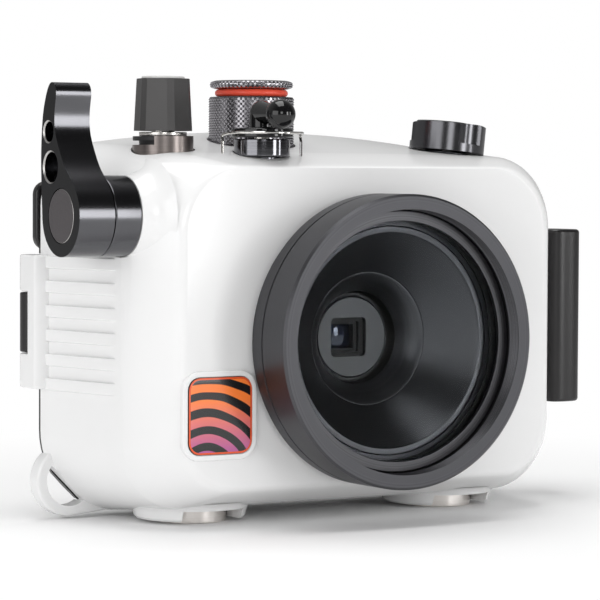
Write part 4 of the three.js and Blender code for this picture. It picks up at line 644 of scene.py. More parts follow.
# Hinge lugs above and below the door's knuckle, with a web between them in front of it
HINGE_X, HINGE_DEPTH, BARREL_RADIUS, HINGE_PIN_RADIUS = -71.6, 69.4, 3.4, 1.5
LUG_TOP, LUG_BOTTOM, KNUCKLE_TOP, KNUCKLE_BOTTOM = 21.2, -13.3, 11.4, -4.1
LUG_FRONT, LUG_ROUNDING = 61.2, 1.2
root_x = left_wall(LUG_FRONT, 0)
outer_x = HINGE_X - BARREL_RADIUS


def quadratic(start, control, end, steps=8):
    """Points of a plain curve with one control point."""
    shares = [step / steps for step in range(steps + 1)]
    return [tuple((1 - t) ** 2 * a + 2 * t * (1 - t) * b + t * t * c
                  for a, b, c in zip(start, control, end)) for t in shares]


lug_front = [(root_x + WALL, LUG_FRONT)]
lug_front += quadratic((root_x, LUG_FRONT), (outer_x, LUG_FRONT), (outer_x, LUG_FRONT + LUG_ROUNDING))
lug_plan = lug_front + arc(HINGE_X, HINGE_DEPTH, BARREL_RADIUS, 180, 0, 16)
lug_plan += [(HINGE_X + BARREL_RADIUS, RIM["depth"] - FIT_GAP)]
web_back = HINGE_DEPTH - BARREL_RADIUS - FIT_GAP
web_plan = lug_front + [(outer_x, web_back), (HINGE_X + BARREL_RADIUS, web_back),
                        (HINGE_X + BARREL_RADIUS, RIM["depth"] - FIT_GAP)]
lugs = [ease_edges(drawn_out(lug_plan, "z", LUG_BOTTOM, KNUCKLE_BOTTOM - FIT_GAP), 0.5),
        ease_edges(drawn_out(lug_plan, "z", KNUCKLE_TOP + FIT_GAP, LUG_TOP), 0.5),
        drawn_out(web_plan, "z", KNUCKLE_BOTTOM - OVERLAP, KNUCKLE_TOP + OVERLAP)]
lug_hole = rod(HINGE_PIN_RADIUS + FIT_GAP, LUG_BOTTOM - OVERLAP, LUG_TOP + OVERLAP, AXES["z"],
               (HINGE_X, HINGE_DEPTH, 0), 32)

# Lanyard eyelets at the lower rear corners, with a web along the floor
EYE_X, EYE_HEIGHT, EYE_OUTER, EYE_INNER, EYE_FRONT, EYE_BACK = 64.8, -37.3, 9.4, 6.7, 61.5, 66.5
WEB_LENGTH, WEB_RISE, EYE_FLAT, EYE_EDGE, EYE_REACH = 16, 1.6, 0.85, 0.8, 4


def eyelet(side):
    """Ring with its web, kept clear of the door."""
    inner_end = EYE_X - WEB_LENGTH
    outline = arc(EYE_X, EYE_HEIGHT, EYE_OUTER, -90, 180, 48)
    outline += [(inner_end, EYE_HEIGHT), (inner_end, EYE_HEIGHT - EYE_OUTER + WEB_RISE)]
    whole = drawn_out([(side * x, z) for x, z in outline], "y", EYE_FRONT, EYE_BACK)
    return shaped(ease_edges(whole, EYE_EDGE), [door_slab(SEAT_GAP, RIM["depth"], EYE_BACK + OVERLAP)],
                  "DIFFERENCE")


def eye_hole(side, shift):
    """Round hole with a flat across the shell's lower corner."""
    reach = 2 * EYE_INNER
    corner_x = EYE_X + (EYE_FLAT + shift) * math.sqrt(2)
    inside = [(side * (corner_x + reach), EYE_HEIGHT + reach),
              (side * (corner_x - reach), EYE_HEIGHT - reach),
              (side * (corner_x - reach), EYE_HEIGHT + reach)]
    hole = rod(EYE_INNER, EYE_FRONT - OVERLAP, EYE_BACK + EYE_REACH, AXES["y"],
               (side * EYE_X, 0, EYE_HEIGHT), 64)
    corner = drawn_out(inside, "y", EYE_FRONT - 2 * OVERLAP, EYE_BACK + EYE_REACH + OVERLAP)
    return shaped(hole, [corner], "DIFFERENCE")


# Bosses round the two tray standoffs
STANDOFF_X, STANDOFF_DEPTH, STANDOFF_RADIUS, STANDOFF_FOOT, STANDOFF_HEIGHT = 38.6, 45, 9.5, -47.3, 3.6
BOSS_RADIUS, BOSS_FOOT, BOSS_FLOOR, BOSS_SPREAD, BOSS_ROUNDING = 14.5, -46.4, -42.1, 18, 0.6
SHANK_RADIUS, SHANK_LENGTH, STANDOFF_NOTCH = 5, 6, 17.4
BEHIND_REACH = 30
pocket_top = STANDOFF_FOOT + STANDOFF_HEIGHT + SEAT_GAP


def standoff_boss(x):
    """Low round mound that flares into the floor, cut off at the door's plane."""
    centre = (x, STANDOFF_DEPTH, 0)
    flare = quadratic((BOSS_RADIUS, BOSS_FOOT + BOSS_ROUNDING), (BOSS_RADIUS + BOSS_ROUNDING, BOSS_FLOOR),
                      (BOSS_SPREAD, BOSS_FLOOR + BOSS_ROUNDING))
    mound = turned([[0, BOSS_FOOT], [BOSS_RADIUS - BOSS_ROUNDING, BOSS_FOOT], *flare,
                    [0, BOSS_FLOOR + BOSS_ROUNDING]], AXES["z"], centre, 96)
    behind = block((x - BEHIND_REACH, x + BEHIND_REACH), (RIM["depth"], RIM["depth"] + BEHIND_REACH),
                   (-2 * BEHIND_REACH, -BEHIND_REACH))
    return shaped(mound, [behind], "DIFFERENCE")


def standoff_socket(x):
    """Thicker floor round the standoff's shank, inside the shell."""
    low = pocket_top + FIT_GAP
    return rod(SHANK_RADIUS + WALL, low, low + SHANK_LENGTH + WALL, AXES["z"], (x, STANDOFF_DEPTH, 0), 48)


def standoff_pocket(x):
    """Tools for the standoff's pocket, the bore of its shank, and the notch in front of it."""
    centre = (x, STANDOFF_DEPTH, 0)
    low, half = BOSS_FOOT - OVERLAP, STANDOFF_NOTCH / 2
    pocket = rod(STANDOFF_RADIUS + FIT_GAP, low, pocket_top, AXES["z"], centre, 64)
    bore = rod(SHANK_RADIUS + FIT_GAP, low, pocket_top + SHANK_LENGTH + FIT_GAP, AXES["z"], centre, 48)
    notch = block((x - half, x + half), (STANDOFF_DEPTH - BOSS_SPREAD, STANDOFF_DEPTH), (low, pocket_top))
    return [pocket, bore, notch]


# Raised frame of the badge, beside the port
BADGE_X, BADGE_HEIGHT, BADGE_WIDTH, BADGE_TALL = -45.6, -18, 18.2, 19.2
BADGE_RADIUS, BADGE_THICKNESS, FRAME_WIDTH, FRAME_RISE = 3.2, 0.9, 1.6, 0.9
PORT_BASE_RADIUS, SPIGOT = 36.1, 32
frame_outline = rounded_rectangle(BADGE_WIDTH + 2 * FRAME_WIDTH, BADGE_TALL + 2 * FRAME_WIDTH,
                                  BADGE_RADIUS + FRAME_WIDTH, BADGE_X, BADGE_HEIGHT)
recess_outline = rounded_rectangle(BADGE_WIDTH + 2 * SEAT_GAP, BADGE_TALL + 2 * SEAT_GAP, BADGE_RADIUS,
                                   BADGE_X, BADGE_HEIGHT)
badge_frame = drawn_out(frame_outline, "y", FRONT_DEPTH - FRAME_RISE, FRONT_DEPTH + WALL / 2)
frame_cuts = [drawn_out(recess_outline, "y", FRONT_DEPTH - FRAME_RISE - OVERLAP, FRONT_DEPTH),
              rod(PORT_BASE_RADIUS + FIT_GAP, 0, FRONT_DEPTH, PORT_AXIS, RIM_MIDDLE, 128)]
badge_frame = ease_edges(shaped(badge_frame, frame_cuts, "DIFFERENCE"), 0.35)

# Lug for the latch's pivot on the right wall
PIVOT_X, PIVOT_DEPTH, LATCH_CENTRE = 77.5, 60.5, 3.1
LATCH_LUG_RADIUS, LATCH_LUG_HALF, LATCH_PIN_RADIUS = 3.6, 5, 1.5
latch_root = PIVOT_DEPTH - 2 * LATCH_LUG_RADIUS
latch_root_x = section(latch_root)["half"] - WALL / 2
latch_lug_plan = [(latch_root_x, latch_root)]
latch_lug_plan += arc(PIVOT_X, PIVOT_DEPTH, LATCH_LUG_RADIUS, -90, 90, 16)
latch_lug_plan += [(latch_root_x, PIVOT_DEPTH + LATCH_LUG_RADIUS)]
latch_lug = ease_edges(drawn_out(latch_lug_plan, "z", LATCH_CENTRE - LATCH_LUG_HALF,
                                 LATCH_CENTRE + LATCH_LUG_HALF), 0.5)


def latch_pin(x, depth, radius, half):
    """Tool for the bore of one of the latch's pins."""
    return rod(radius, LATCH_CENTRE - half, LATCH_CENTRE + half, AXES["z"], (x, depth, 0), 32)


latch_lug_hole = latch_pin(PIVOT_X, PIVOT_DEPTH, LATCH_PIN_RADIUS + FIT_GAP, LATCH_LUG_HALF + OVERLAP)

# Boss and flare of the lever on the left wall, with the seat of its gland
LEVER_DEPTH, LEVER_HEIGHT, LEVER_RADIUS, LEVER_GLAND_END = 33.3, 31.7, 10.15, -64.5
LEVER_SHANK_RADIUS, LEVER_SHANK_END = 5.4, -60.5
LEVER_BOSS_LENGTH, BOSS_SETBACK = 4.1, 0.2
FLARE_LENGTH, FLARE_RADIUS, FLARE_SPREAD, FLARE_SHARE = 7.4, 14.5, 0.2, 0.6
# Places clear of the shell, left of it and above it, where the tools for the seats start
LEFT_OF_ALL, ABOVE_ROOF = -84, 60
LEVER_AXIS = (0, LEVER_DEPTH, LEVER_HEIGHT)
boss_end = LEVER_GLAND_END + SEAT_GAP
lever_boss = rod(LEVER_RADIUS, boss_end + BOSS_SETBACK, boss_end + LEVER_BOSS_LENGTH, AXES["x"],
                 LEVER_AXIS, 96)
flare = quadratic((LEVER_RADIUS, boss_end),
                  (LEVER_RADIUS + FLARE_SPREAD, boss_end + FLARE_SHARE * FLARE_LENGTH),
                  (FLARE_RADIUS, boss_end + FLARE_LENGTH))
lever_flare = turned([[0, boss_end], *flare, [0, boss_end + FLARE_LENGTH]], AXES["x"], LEVER_AXIS, 96)
seats = [rod(LEVER_RADIUS + FIT_GAP, LEFT_OF_ALL, boss_end, AXES["x"], LEVER_AXIS, 96),
         rod(LEVER_SHANK_RADIUS + FIT_GAP, LEFT_OF_ALL, LEVER_SHANK_END + WALL, AXES["x"], LEVER_AXIS, 64)]

# Seats of three controls on the roof: each has its place, the height of its flat, the control's
# radius, the flat's margin round it and the radius of the shank through the roof
ROOF_SEATS = [(-48.4, 42, 46.9, 7.8, 0.4, 4.6), (-18, 49, 47.8, 11.25, 0.4, 6.2),
              (-26.1, 30, 46.7, 7.15, 0.3, 4.4)]
for x, depth, seat, radius, margin, shank in ROOF_SEATS:
    seats.append(rod(radius + margin, seat, ABOVE_ROOF, AXES["z"], (x, depth, 0), 96))
    seats.append(rod(shank + FIT_GAP, ROOF_HEIGHT - WALL, ABOVE_ROOF, AXES["z"], (x, depth, 0), 64))

# The dial stands square to the arched roof, so its seat is tilted with it
DIAL_PLACE = Matrix.Translation((40.7, 44, 47.6)) @ Matrix.Rotation(math.radians(6.2), 4, "Y")
DIAL_RADIUS, DIAL_SHANK_RADIUS, DIAL_HOLE_DEPTH, DIAL_CLEAR = 10.15, 4.4, 7.5, 10
dial_seat = [rod(DIAL_RADIUS + FIT_GAP, 0, DIAL_CLEAR, AXES["z"], (0, 0, 0), 96),
             rod(DIAL_SHANK_RADIUS + FIT_GAP, -DIAL_HOLE_DEPTH, OVERLAP, AXES["z"], (0, 0, 0), 64)]
for tool in dial_seat:
    bmesh.ops.transform(tool, matrix=DIAL_PLACE, verts=tool.verts)
seats += dial_seat
port_hole = rod(SPIGOT + FIT_GAP, 0, FRONT_DEPTH + 2 * WALL, PORT_AXIS, RIM_MIDDLE, 128)

joined = shaped(outside, [*ribs, *lugs, eyelet(-1), eyelet(1), standoff_boss(-STANDOFF_X),
                          standoff_boss(STANDOFF_X), badge_frame, latch_lug, lever_flare], "UNION")
hollow = shaped(joined, [cavity, mouth], "DIFFERENCE")
fitted = shaped(hollow, [lever_boss, standoff_socket(-STANDOFF_X), standoff_socket(STANDOFF_X)], "UNION")
holes = [port_hole, lug_hole, latch_lug_hole, eye_hole(-1, 0), eye_hole(1, 0),
         *standoff_pocket(-STANDOFF_X), *standoff_pocket(STANDOFF_X)]
moulding = shaped(fitted, [*holes, *seats], "DIFFERENCE")
finish_piece(moulding, "shell_moulding", white_plastic, "housing", "white_plastic", "shell")

# Badge
#
# A thin enamelled plate in the shell's frame, its middle a little raised, with a thin orange border
# round a plain pattern of soft bands on black. It is glued in place.

BORDER_WIDTH, RAISED_MARGIN, RAISED_HEIGHT = 0.5, 1.2, 0.1
# Fired enamel: smooth, with a soft gloss over a strong colour
border_enamel = grained("orange_border_enamel", ["#d9502a", "#e65c30"], 4, (0.15, 0.2), 1, 0.002)
black_side = grained("black_enamel_side", ["#0d0c0e", "#151416"], 4, (0.2, 0.3), 1, 0.002)

# Bands from violet to orange on black, under the gloss of clear enamel: their pitch, the place they
# are rings about, and the heights over it between which their colour warms
BAND_PITCH, BAND_X, BAND_HEIGHT, VIOLET_END, ORANGE_START = 4.1888, BADGE_X - 4, BADGE_HEIGHT - 16, 4, 20
# The wave is black below the first of these values and a full band above the second
BAND_EDGE = (0.42, 0.52)
# The rings of a wave texture have a pitch of pi / 10 over its scale
band_scale = 1000 * math.pi / (10 * BAND_PITCH)
band_enamel, tree, shader = new_material("banded_enamel")
coordinates = add_node(tree, "ShaderNodeTexCoord")
band_middle = TO_FRAME @ Vector((BAND_X, FRONT_DEPTH, BAND_HEIGHT))
centred = add_node(tree, "ShaderNodeVectorMath", {"operation": "SUBTRACT", 1: band_middle},
                   {0: coordinates.outputs["Object"]})
waves = add_node(tree, "ShaderNodeTexWave",
                 {"wave_type": "RINGS", "rings_direction": "Y", "Scale": band_scale, "Distortion": 1.2,
                  "Detail": 1.0, "Detail Scale": 1.0}, {"Vector": centred.outputs["Vector"]})
bands = add_node(tree, "ShaderNodeMapRange", {"From Min": BAND_EDGE[0], "From Max": BAND_EDGE[1]},
                 {"Value": waves.outputs["Fac"]})
height = add_node(tree, "ShaderNodeSeparateXYZ", {}, {0: centred.outputs["Vector"]})
climb = add_node(tree, "ShaderNodeMapRange",
                 {"From Min": VIOLET_END / 1000, "From Max": ORANGE_START / 1000},
                 {"Value": height.outputs["Z"]})
warmth = add_node(tree, "ShaderNodeMix", {"data_type": "RGBA", 6: linear("#9a4aa4"), 7: linear("#ff8438")},
                  {0: climb.outputs["Result"]})
tone = add_node(tree, "ShaderNodeMix", {"data_type": "RGBA", 6: linear("#0d0c0e")},
                {0: bands.outputs["Result"], 7: warmth.outputs[2]})
tree.links.new(tone.outputs[2], shader.inputs["Base Color"])
shader.inputs["Roughness"].default_value = 0.25
shader.inputs["Coat Weight"].default_value = 0.2

plate_outline = rounded_rectangle(BADGE_WIDTH, BADGE_TALL, BADGE_RADIUS, BADGE_X, BADGE_HEIGHT)
plate = drawn_out(plate_outline, "y", FRONT_DEPTH - SEAT_GAP - BADGE_THICKNESS, FRONT_DEPTH - SEAT_GAP)
front_face = min(plate.faces, key=lambda face: face.calc_center_median().y)
for face in plate.faces:
    face.material_index = 0 if face == front_face else 2
border = bmesh.ops.inset_region(plate, faces=[front_face], thickness=BORDER_WIDTH, depth=0)["faces"]
bmesh.ops.inset_region(plate, faces=[front_face], thickness=RAISED_MARGIN, depth=RAISED_HEIGHT)
for face in border:
    face.material_index = 1
badge_piece = finish_piece(plate, "badge_plate", band_enamel, "housing", "badge_black", "badge")
badge_piece.data.materials.append(border_enamel)
badge_piece.data.materials.append(black_side)

# Tray standoffs
#
# Two turned discs of nickel-plated brass under the floor, each with a threaded bore for the screw of
# a tray and a shank pressed into the shell.

STANDOFF_THREAD = 3.2
for side, name in ((-1, "left"), (1, "right")):
    centre = (side * STANDOFF_X, STANDOFF_DEPTH, 0)
    # Plated and turned: bright and warm, with fine rings
    nickel = turned_metal("turned_nickel_" + name, ["#ece6e1", "#f6f2ee"], (0.24, 0.38), 0.25, 0.01,
                          AXES["z"], centre)
    top = STANDOFF_FOOT + STANDOFF_HEIGHT
    foot = flanged(STANDOFF_THREAD, SHANK_RADIUS, STANDOFF_RADIUS, top + SHANK_LENGTH, top, STANDOFF_FOOT,
                   AXES["z"], centre)
    finish_piece(ease_edges(foot, 0.25), "standoff_disc_" + name, nickel, "housing", "nickel",
                 "standoff_" + name)

# Port
#
# A barrel turned from aluminium and anodised dark grey, with a fine thread inside its rim for a wet
# lens. It clamps a base ring on the shell's face, and holds a flat window with a ring and a seal.

BORE, RIM_RADIUS, RIM_CHAMFER, PORT_LENGTH = 33.5, 37.5, 0.6, 14.9
SPIGOT_DEPTH, SPIGOT_BORE, GLASS_SEAT = 22.8, 29.4, 9.45
THREAD_PITCH, THREAD_DEPTH, THREAD_TURNS, THREAD_LEAD, THREAD_END = 0.75, 0.4, 5, 0.1, 4.5
GRIP_GROOVE, GRIP_GROOVE_SIZE = 10.5, 0.5
BASE_RING_FRONT, BASE_RING_BACK = 15.6, 17.9
# Anodised as it left the lathe: satin dark grey, with fine rings
anodised = turned_metal("dark_grey_anodised_aluminium", ["#4c4c4f", "#5b5b5e"], (0.38, 0.48), 0.4, 0.012,
                        PORT_AXIS, RIM_MIDDLE)
groove_floor, groove_back = RIM_RADIUS - GRIP_GROOVE_SIZE, GRIP_GROOVE + GRIP_GROOVE_SIZE
profile = [[BORE + THREAD_LEAD, 0], [RIM_RADIUS - RIM_CHAMFER, 0], [RIM_RADIUS, RIM_CHAMFER],
           [RIM_RADIUS, GRIP_GROOVE], [groove_floor, GRIP_GROOVE], [groove_floor, groove_back],
           [RIM_RADIUS, groove_back], [RIM_RADIUS, PORT_LENGTH], [SPIGOT, PORT_LENGTH],
           [SPIGOT, SPIGOT_DEPTH], [SPIGOT_BORE, SPIGOT_DEPTH], [SPIGOT_BORE, GLASS_SEAT],
           [BORE, GLASS_SEAT], [BORE, THREAD_END]]
for turn in range(THREAD_TURNS, 0, -1):
    crest = turn * THREAD_PITCH + THREAD_LEAD
    profile += [[BORE, crest], [BORE + THREAD_DEPTH, crest - THREAD_PITCH / 2]]
barrel = turned(profile, PORT_AXIS, RIM_MIDDLE, 192)
finish_piece(ease_edges(barrel, 0.12, segments=2, corner=50), "port_barrel_turned", anodised, "housing",
             "grey_anodised", "port_barrel")
base = tube(SPIGOT + FIT_GAP, PORT_BASE_RADIUS, BASE_RING_FRONT, BASE_RING_BACK, PORT_AXIS, RIM_MIDDLE, 192)
finish_piece(ease_edges(base, 0.3), "port_base_turned", anodised, "housing", "grey_anodised",
             "port_base_ring")

RETAINER_BORE, RETAINER_DEPTH, GLASS_RADIUS, GLASS_DEPTH = 30.6, (4.65, 5.85), 33.2, (5.95, 8.65)
# The same finish dyed black
black_anodised = turned_metal("black_anodised_aluminium", ["#424244", "#626265"], (0.3, 0.42), 0.3, 0.006,
                              PORT_AXIS, RIM_MIDDLE)
retainer = tube(RETAINER_BORE, GLASS_RADIUS, *RETAINER_DEPTH, PORT_AXIS, RIM_MIDDLE, 192)
finish_piece(ease_edges(retainer, 0.2), "port_window_retainer", black_anodised, "housing", "dark_metal",
             "port_window_ring")


def clear_pane(name, colours, patch, haze, index):
    """Clear glass or plastic with a faint tint and a trace of haze, in patches in millimetres."""
    material, tree, shader = new_material(name)
    coordinates = add_node(tree, "ShaderNodeTexCoord")
    patches = add_node(tree, "ShaderNodeTexNoise", {"Scale": 1000 / patch},
                       {"Vector": coordinates.outputs["Object"]})
    toned(tree, shader, patches.outputs["Fac"], colours, haze)
    shader.inputs["Transmission Weight"].default_value = 1.0
    shader.inputs["IOR"].default_value = index
    return material


# Optical glass, all but invisible: a low index of refraction gives the flat pane what its coating
# does, which is to stop reflections
COATED_INDEX = 1.1
clear_glass = clear_pane("optical_port_glass", ["#f4f8fa", "#f9fbfc"], 16.667, (0.0, 0.02), COATED_INDEX)
window = rod(GLASS_RADIUS, *GLASS_DEPTH, PORT_AXIS, RIM_MIDDLE, 128)
finish_piece(window, "port_window_pane", clear_glass, "housing", "port_glass", "port_window")

# Moulded rubber: matt and very dark
black_rubber = grained("black_nitrile_rubber", ["#1c1c1d", "#242425"], 5, (0.6, 0.75), 0.3, 0.01)
dress(black_rubber, "port_window_seal", "door_seal", "dial_drive_wheel")

# Cone behind the window, cut with fine steps that stop stray light. Behind its flange its back has
# three corners, and its wall is rounded between the step and the lip round the lens.
CONE_FRONT, CONE_FRONT_RADIUS, CONE_FLANGE, CONE_FLANGE_RADIUS = 9.6, 27.8, 12, 29.1
CONE_STEP, CONE_STEP_RADIUS = 20.3, 16.9
CONE_LIP, CONE_LIP_RADIUS = 25.9, 12.1
CONE_BACK = [(27.1, 12), (18.3, 21), (13.5, 26.6)]
CONE_GROOVES, GROOVE_DEPTH, GROOVE_START, GROOVE_END = 14, 0.22, 0.35, 0.7
LIP_STEPS, LIP_ROUNDING = 6, 0.5
profile = [[CONE_FRONT_RADIUS, CONE_FRONT], [CONE_FLANGE_RADIUS, CONE_FRONT],
           [CONE_FLANGE_RADIUS, CONE_FLANGE], *CONE_BACK, [CONE_LIP_RADIUS, CONE_LIP]]
for step in range(LIP_STEPS - 1, 0, -1):
    share = step / LIP_STEPS
    profile.append([CONE_LIP_RADIUS + (CONE_STEP_RADIUS - CONE_LIP_RADIUS) * (1 - share),
                    CONE_LIP + (CONE_STEP - CONE_LIP) * (1 - share)
                    - LIP_ROUNDING * math.sin(math.pi * share)])
profile.append([CONE_STEP_RADIUS, CONE_STEP])
groove_width = (CONE_FRONT_RADIUS - CONE_STEP_RADIUS) / CONE_GROOVES
groove_slope = (CONE_FRONT - CONE_STEP) / CONE_GROOVES
for number in range(CONE_GROOVES):
    radius, depth = CONE_STEP_RADIUS + number * groove_width, CONE_STEP + number * groove_slope
    profile.append([radius + groove_width * GROOVE_START,
                    depth + groove_slope * GROOVE_START + GROOVE_DEPTH])
    profile.append([radius + groove_width * GROOVE_END, depth + groove_slope * GROOVE_END])
cone = turned(profile, PORT_AXIS, RIM_MIDDLE, 192)
finish_piece(cone, "lens_cone", black_anodised, "housing", "dark_metal", "lens_baffle", sharp=50)

# Shutter lever
#
# A lever of polished black anodised aluminium with two holes, screwed to a steel shaft that turns in
# a gland through the left wall. A cap closes the screw; the arm inside presses the shutter button.

LEVER_FACE, LEVER_THICKNESS, LEVER_REACH, LEVER_EDGE = -82, 9.8, 33.6, 0.5
CAP_RADIUS, CAP_THICKNESS, LEVER_SHAFT = 6.8, 1.4, 3
CHAMFER, OUTLINE_PITCH = 0.35, 0.6
# Holes and outline of the lever, in shares of its hub's radius across and of its reach upwards: each
# hole also has its radius, and the outline runs from the hub's back up over the tip to its front
HOLES = [(0.68, 0.622, 2.55), (0.56, 0.36, 3.8)]
LEVER_OUTLINE = [(1.07, 0.414), (0.995, 0.711), (0.857, 0.857), (0.65, 0.973), (0.483, 1),
                 (0.315, 0.973), (0.236, 0.914), (0.345, 0.768), (0.315, 0.619), (0.069, 0.479),
                 (-0.217, 0.354), (-0.53, 0.275)]
# Polished before it was anodised: black with sharp, bright highlights. The cap is blasted and dull.
black_gloss_metal = grained("polished_black_anodised_aluminium", ["#5a5a5d", "#656568"], 15, (0.16, 0.24),
                            6, 0.004, 1.0)
cap_metal = grained("textured_grey_cap", ["#3c383a", "#4c484a"], 1.2, (0.5, 0.65), 0.5, 0.05)


def smooth_path(points, steps=6):
    """Smooth curve through points, with steps points to each stretch."""
    path = []
    extended = [points[0], *points, points[-1]]
    for before, start, end, after in zip(extended, extended[1:], extended[2:], extended[3:]):
        for step in range(steps):
            t = step / steps
            path.append(tuple(0.5 * (2 * b + (c - a) * t + (2 * a - 5 * b + 4 * c - d) * t * t
                                     + (3 * b - a - 3 * c + d) * t ** 3)
                              for a, b, c, d in zip(before, start, end, after)))
    return [*path, points[-1]]


def evened(path, pitch, rounds=10):
    """The same curve in even steps, with its sudden changes of bend smoothed out."""
    reached = [0]
    for start, end in zip(path, path[1:]):
        reached.append(reached[-1] + math.dist(start, end))
    count = round(reached[-1] / pitch)
    points, index = [path[0]], 1
    for step in range(1, count):
        target = reached[-1] * step / count
        while reached[index] < target:
            index += 1
        share = (target - reached[index - 1]) / (reached[index] - reached[index - 1])
        points.append(tuple(a + (b - a) * share for a, b in zip(path[index - 1], path[index])))
    points.append(path[-1])
    for _ in range(rounds):
        middle = [tuple((a + 2 * b + c) / 4 for a, b, c in zip(*three))
                  for three in zip(points, points[1:], points[2:])]
        points = [points[0], *middle, points[-1]]
    return points


blade = [(LEVER_DEPTH + u * LEVER_RADIUS, LEVER_HEIGHT + v * LEVER_REACH) for u, v in LEVER_OUTLINE]
hub = arc(LEVER_DEPTH, LEVER_HEIGHT, LEVER_RADIUS, 135, 360, 36)
lever_outline = hub[:-1] + evened(smooth_path([hub[-1], *blade, hub[0]], 12), OUTLINE_PITCH)[:-1]
LEVER_BACK = LEVER_FACE + LEVER_THICKNESS
lever = drawn_out(lever_outline, "x", LEVER_FACE, LEVER_BACK)
hole_circles = [(LEVER_DEPTH + u * LEVER_RADIUS, LEVER_HEIGHT + v * LEVER_REACH, radius)
                for u, v, radius in HOLES]
lever_cuts = [turned([[0, LEVER_FACE - OVERLAP], [radius + CHAMFER + OVERLAP, LEVER_FACE - OVERLAP],
                      [radius, LEVER_FACE + CHAMFER], [radius, LEVER_BACK + OVERLAP],
                      [0, LEVER_BACK + OVERLAP]], AXES["x"], (0, y, z), 64)
              for y, z, radius in hole_circles]
lever_cuts += [rod(CAP_RADIUS + SEAT_GAP, LEVER_FACE - OVERLAP, LEVER_FACE + CAP_THICKNESS + SEAT_GAP,
                   AXES["x"], LEVER_AXIS, 64),
               rod(LEVER_SHAFT + SEAT_GAP, LEVER_FACE - OVERLAP, LEVER_BACK + OVERLAP, AXES["x"],
                   LEVER_AXIS, 32)]
lever = shaped(lever, lever_cuts, "DIFFERENCE")
# Chamfers cut after anodising show bright bare metal. The flat end gets a darker copy of the lever's metal,
# which is painted shade
cut_metal = grained("bare_cut_aluminium", ["#b4b2b0", "#c6c4c2"], 2, (0.3, 0.4), 0.3, 0.004, 1.0)
shaded_end_metal = grained("painted_shade_end_face", ["#2a2a2c", "#323234"], 15, (0.24, 0.34), 3, 0.004, 1.0)

# A face belongs to the flat end, which gets the painted shade, if it looks outwards by more than the first
# of these, and to a chamfer if by less than the second
END_FACE_TILT, CUT_TILT = 0.98, 0.95


def bare_edges(bm, circles):
    """Marks the chamfers round these circles of the outer face, where the cut shows bare metal."""
    for face in bm.faces:
        centre = face.calc_center_median()
        near = [abs(math.hypot(centre.y - y, centre.z - z) - radius) < 1.5 * CHAMFER
                for y, z, radius in circles]
        if any(near) and centre.x < LEVER_FACE + CHAMFER and abs(face.normal.x) < CUT_TILT:
            face.material_index = 1
    return bm


lever = ease_edges(lever, LEVER_EDGE, segments=4)
# Faces that look straight out of the flat end get the darker copy of the metal: painted shade
for face in lever.faces:
    if face.normal.x < -END_FACE_TILT:
        face.material_index = 2
blade_piece = finish_piece(bare_edges(lever, hole_circles), "lever_blade", black_gloss_metal, "shutter",
                           "gloss_black", "shutter_lever")
blade_piece.data.materials.append(cut_metal)
# Third slot: the darker copy for the flat end, painted shade
blade_piece.data.materials.append(shaded_end_metal)
cap = rod(CAP_RADIUS, LEVER_FACE, LEVER_FACE + CAP_THICKNESS, AXES["x"], LEVER_AXIS, 64)
cap = bare_edges(ease_edges(cap, CHAMFER), [(LEVER_DEPTH, LEVER_HEIGHT, CAP_RADIUS)])
cap_piece = finish_piece(cap, "lever_cap_disc", cap_metal, "shutter", "dark_metal", "shutter_lever_cap")
cap_piece.data.materials.append(cut_metal)
gland = flanged(LEVER_SHAFT + FIT_GAP, LEVER_SHANK_RADIUS, LEVER_RADIUS, LEVER_SHANK_END, LEVER_GLAND_END,
                LEVER_BACK + FIT_GAP, AXES["x"], LEVER_AXIS)
finish_piece(ease_edges(gland, 0.4), "lever_gland_turned", black_gloss_metal, "housing", "gloss_black",
             "lever_gland")

# Drawn steel: bright, with a soft gloss
drawn_steel = grained("drawn_stainless_steel", ["#c9c6c2", "#dcd9d5"], 2, (0.2, 0.32), 2, 0.002, 1.0)
dress(drawn_steel, "shutter_shaft", "shutter_spring", "power_shaft", "zoom_shaft", "dial_shaft",
      "hinge_pin", "latch_pivot_pin", "latch_hook_pin")
# Moulded nylon: dull black
inner_plastic = grained("black_nylon", ["#1b1b1d", "#232325"], 5, (0.45, 0.55), 0.4, 0.01)
dress(inner_plastic, "shutter_inner_arm", "zoom_fork")

# Power knob
#
# A six-sided tapered knob of satin grey anodised aluminium with a pale insert, over a black sleeve
# in a gunmetal collar with one notch. It turns freely and presses the camera's power button.

POWER = (-48.4, 42, 0)
COLLAR_RADIUS, COLLAR_WALL, COLLAR_BOTTOM, COLLAR_TOP, NOTCH_FLOOR = 7.8, 1.4, 47.0, 51.9, 49.6
NOTCH_OFFSET, NOTCH_TURN = -2.2, -29
POWER_SHAFT, POWER_TRAVEL, TRAVEL_GAP = 3, 1, 0.2
NECK_RADIUS, NECK_TOP, SLEEVE_SHANK, SLEEVE_BOTTOM = 6.1, 52.9, 4.6, 42.8
sleeve_step = COLLAR_BOTTOM + POWER_TRAVEL + TRAVEL_GAP
power_bore = POWER_SHAFT + FIT_GAP
# Turned and dyed: a warm mid grey with a bright satin gloss
gunmetal = turned_metal("gunmetal_collar", ["#7a7370", "#8c8481"], (0.26, 0.34), 0.3, 0.006, AXES["z"],
                        POWER)
collar = tube(COLLAR_RADIUS - COLLAR_WALL, COLLAR_RADIUS, COLLAR_BOTTOM, COLLAR_TOP, AXES["z"], POWER)


def notch_block(floor, clearance):
    """Block over one side of the collar."""
    edge = COLLAR_RADIUS + OVERLAP
    tool = block((-edge, NOTCH_OFFSET + clearance), (-edge, edge),
                 (floor + clearance, COLLAR_TOP + OVERLAP))
    turn = Matrix.Translation(POWER) @ Matrix.Rotation(math.radians(NOTCH_TURN), 4, "Z")
    bmesh.ops.transform(tool, matrix=turn, verts=tool.verts)
    return tool


collar = ease_edges(shaped(collar, [notch_block(NOTCH_FLOOR, 0)], "DIFFERENCE"), 0.25, segments=2)
finish_piece(collar, "power_collar_ring", gunmetal, "housing", "dark_metal", "power_collar")

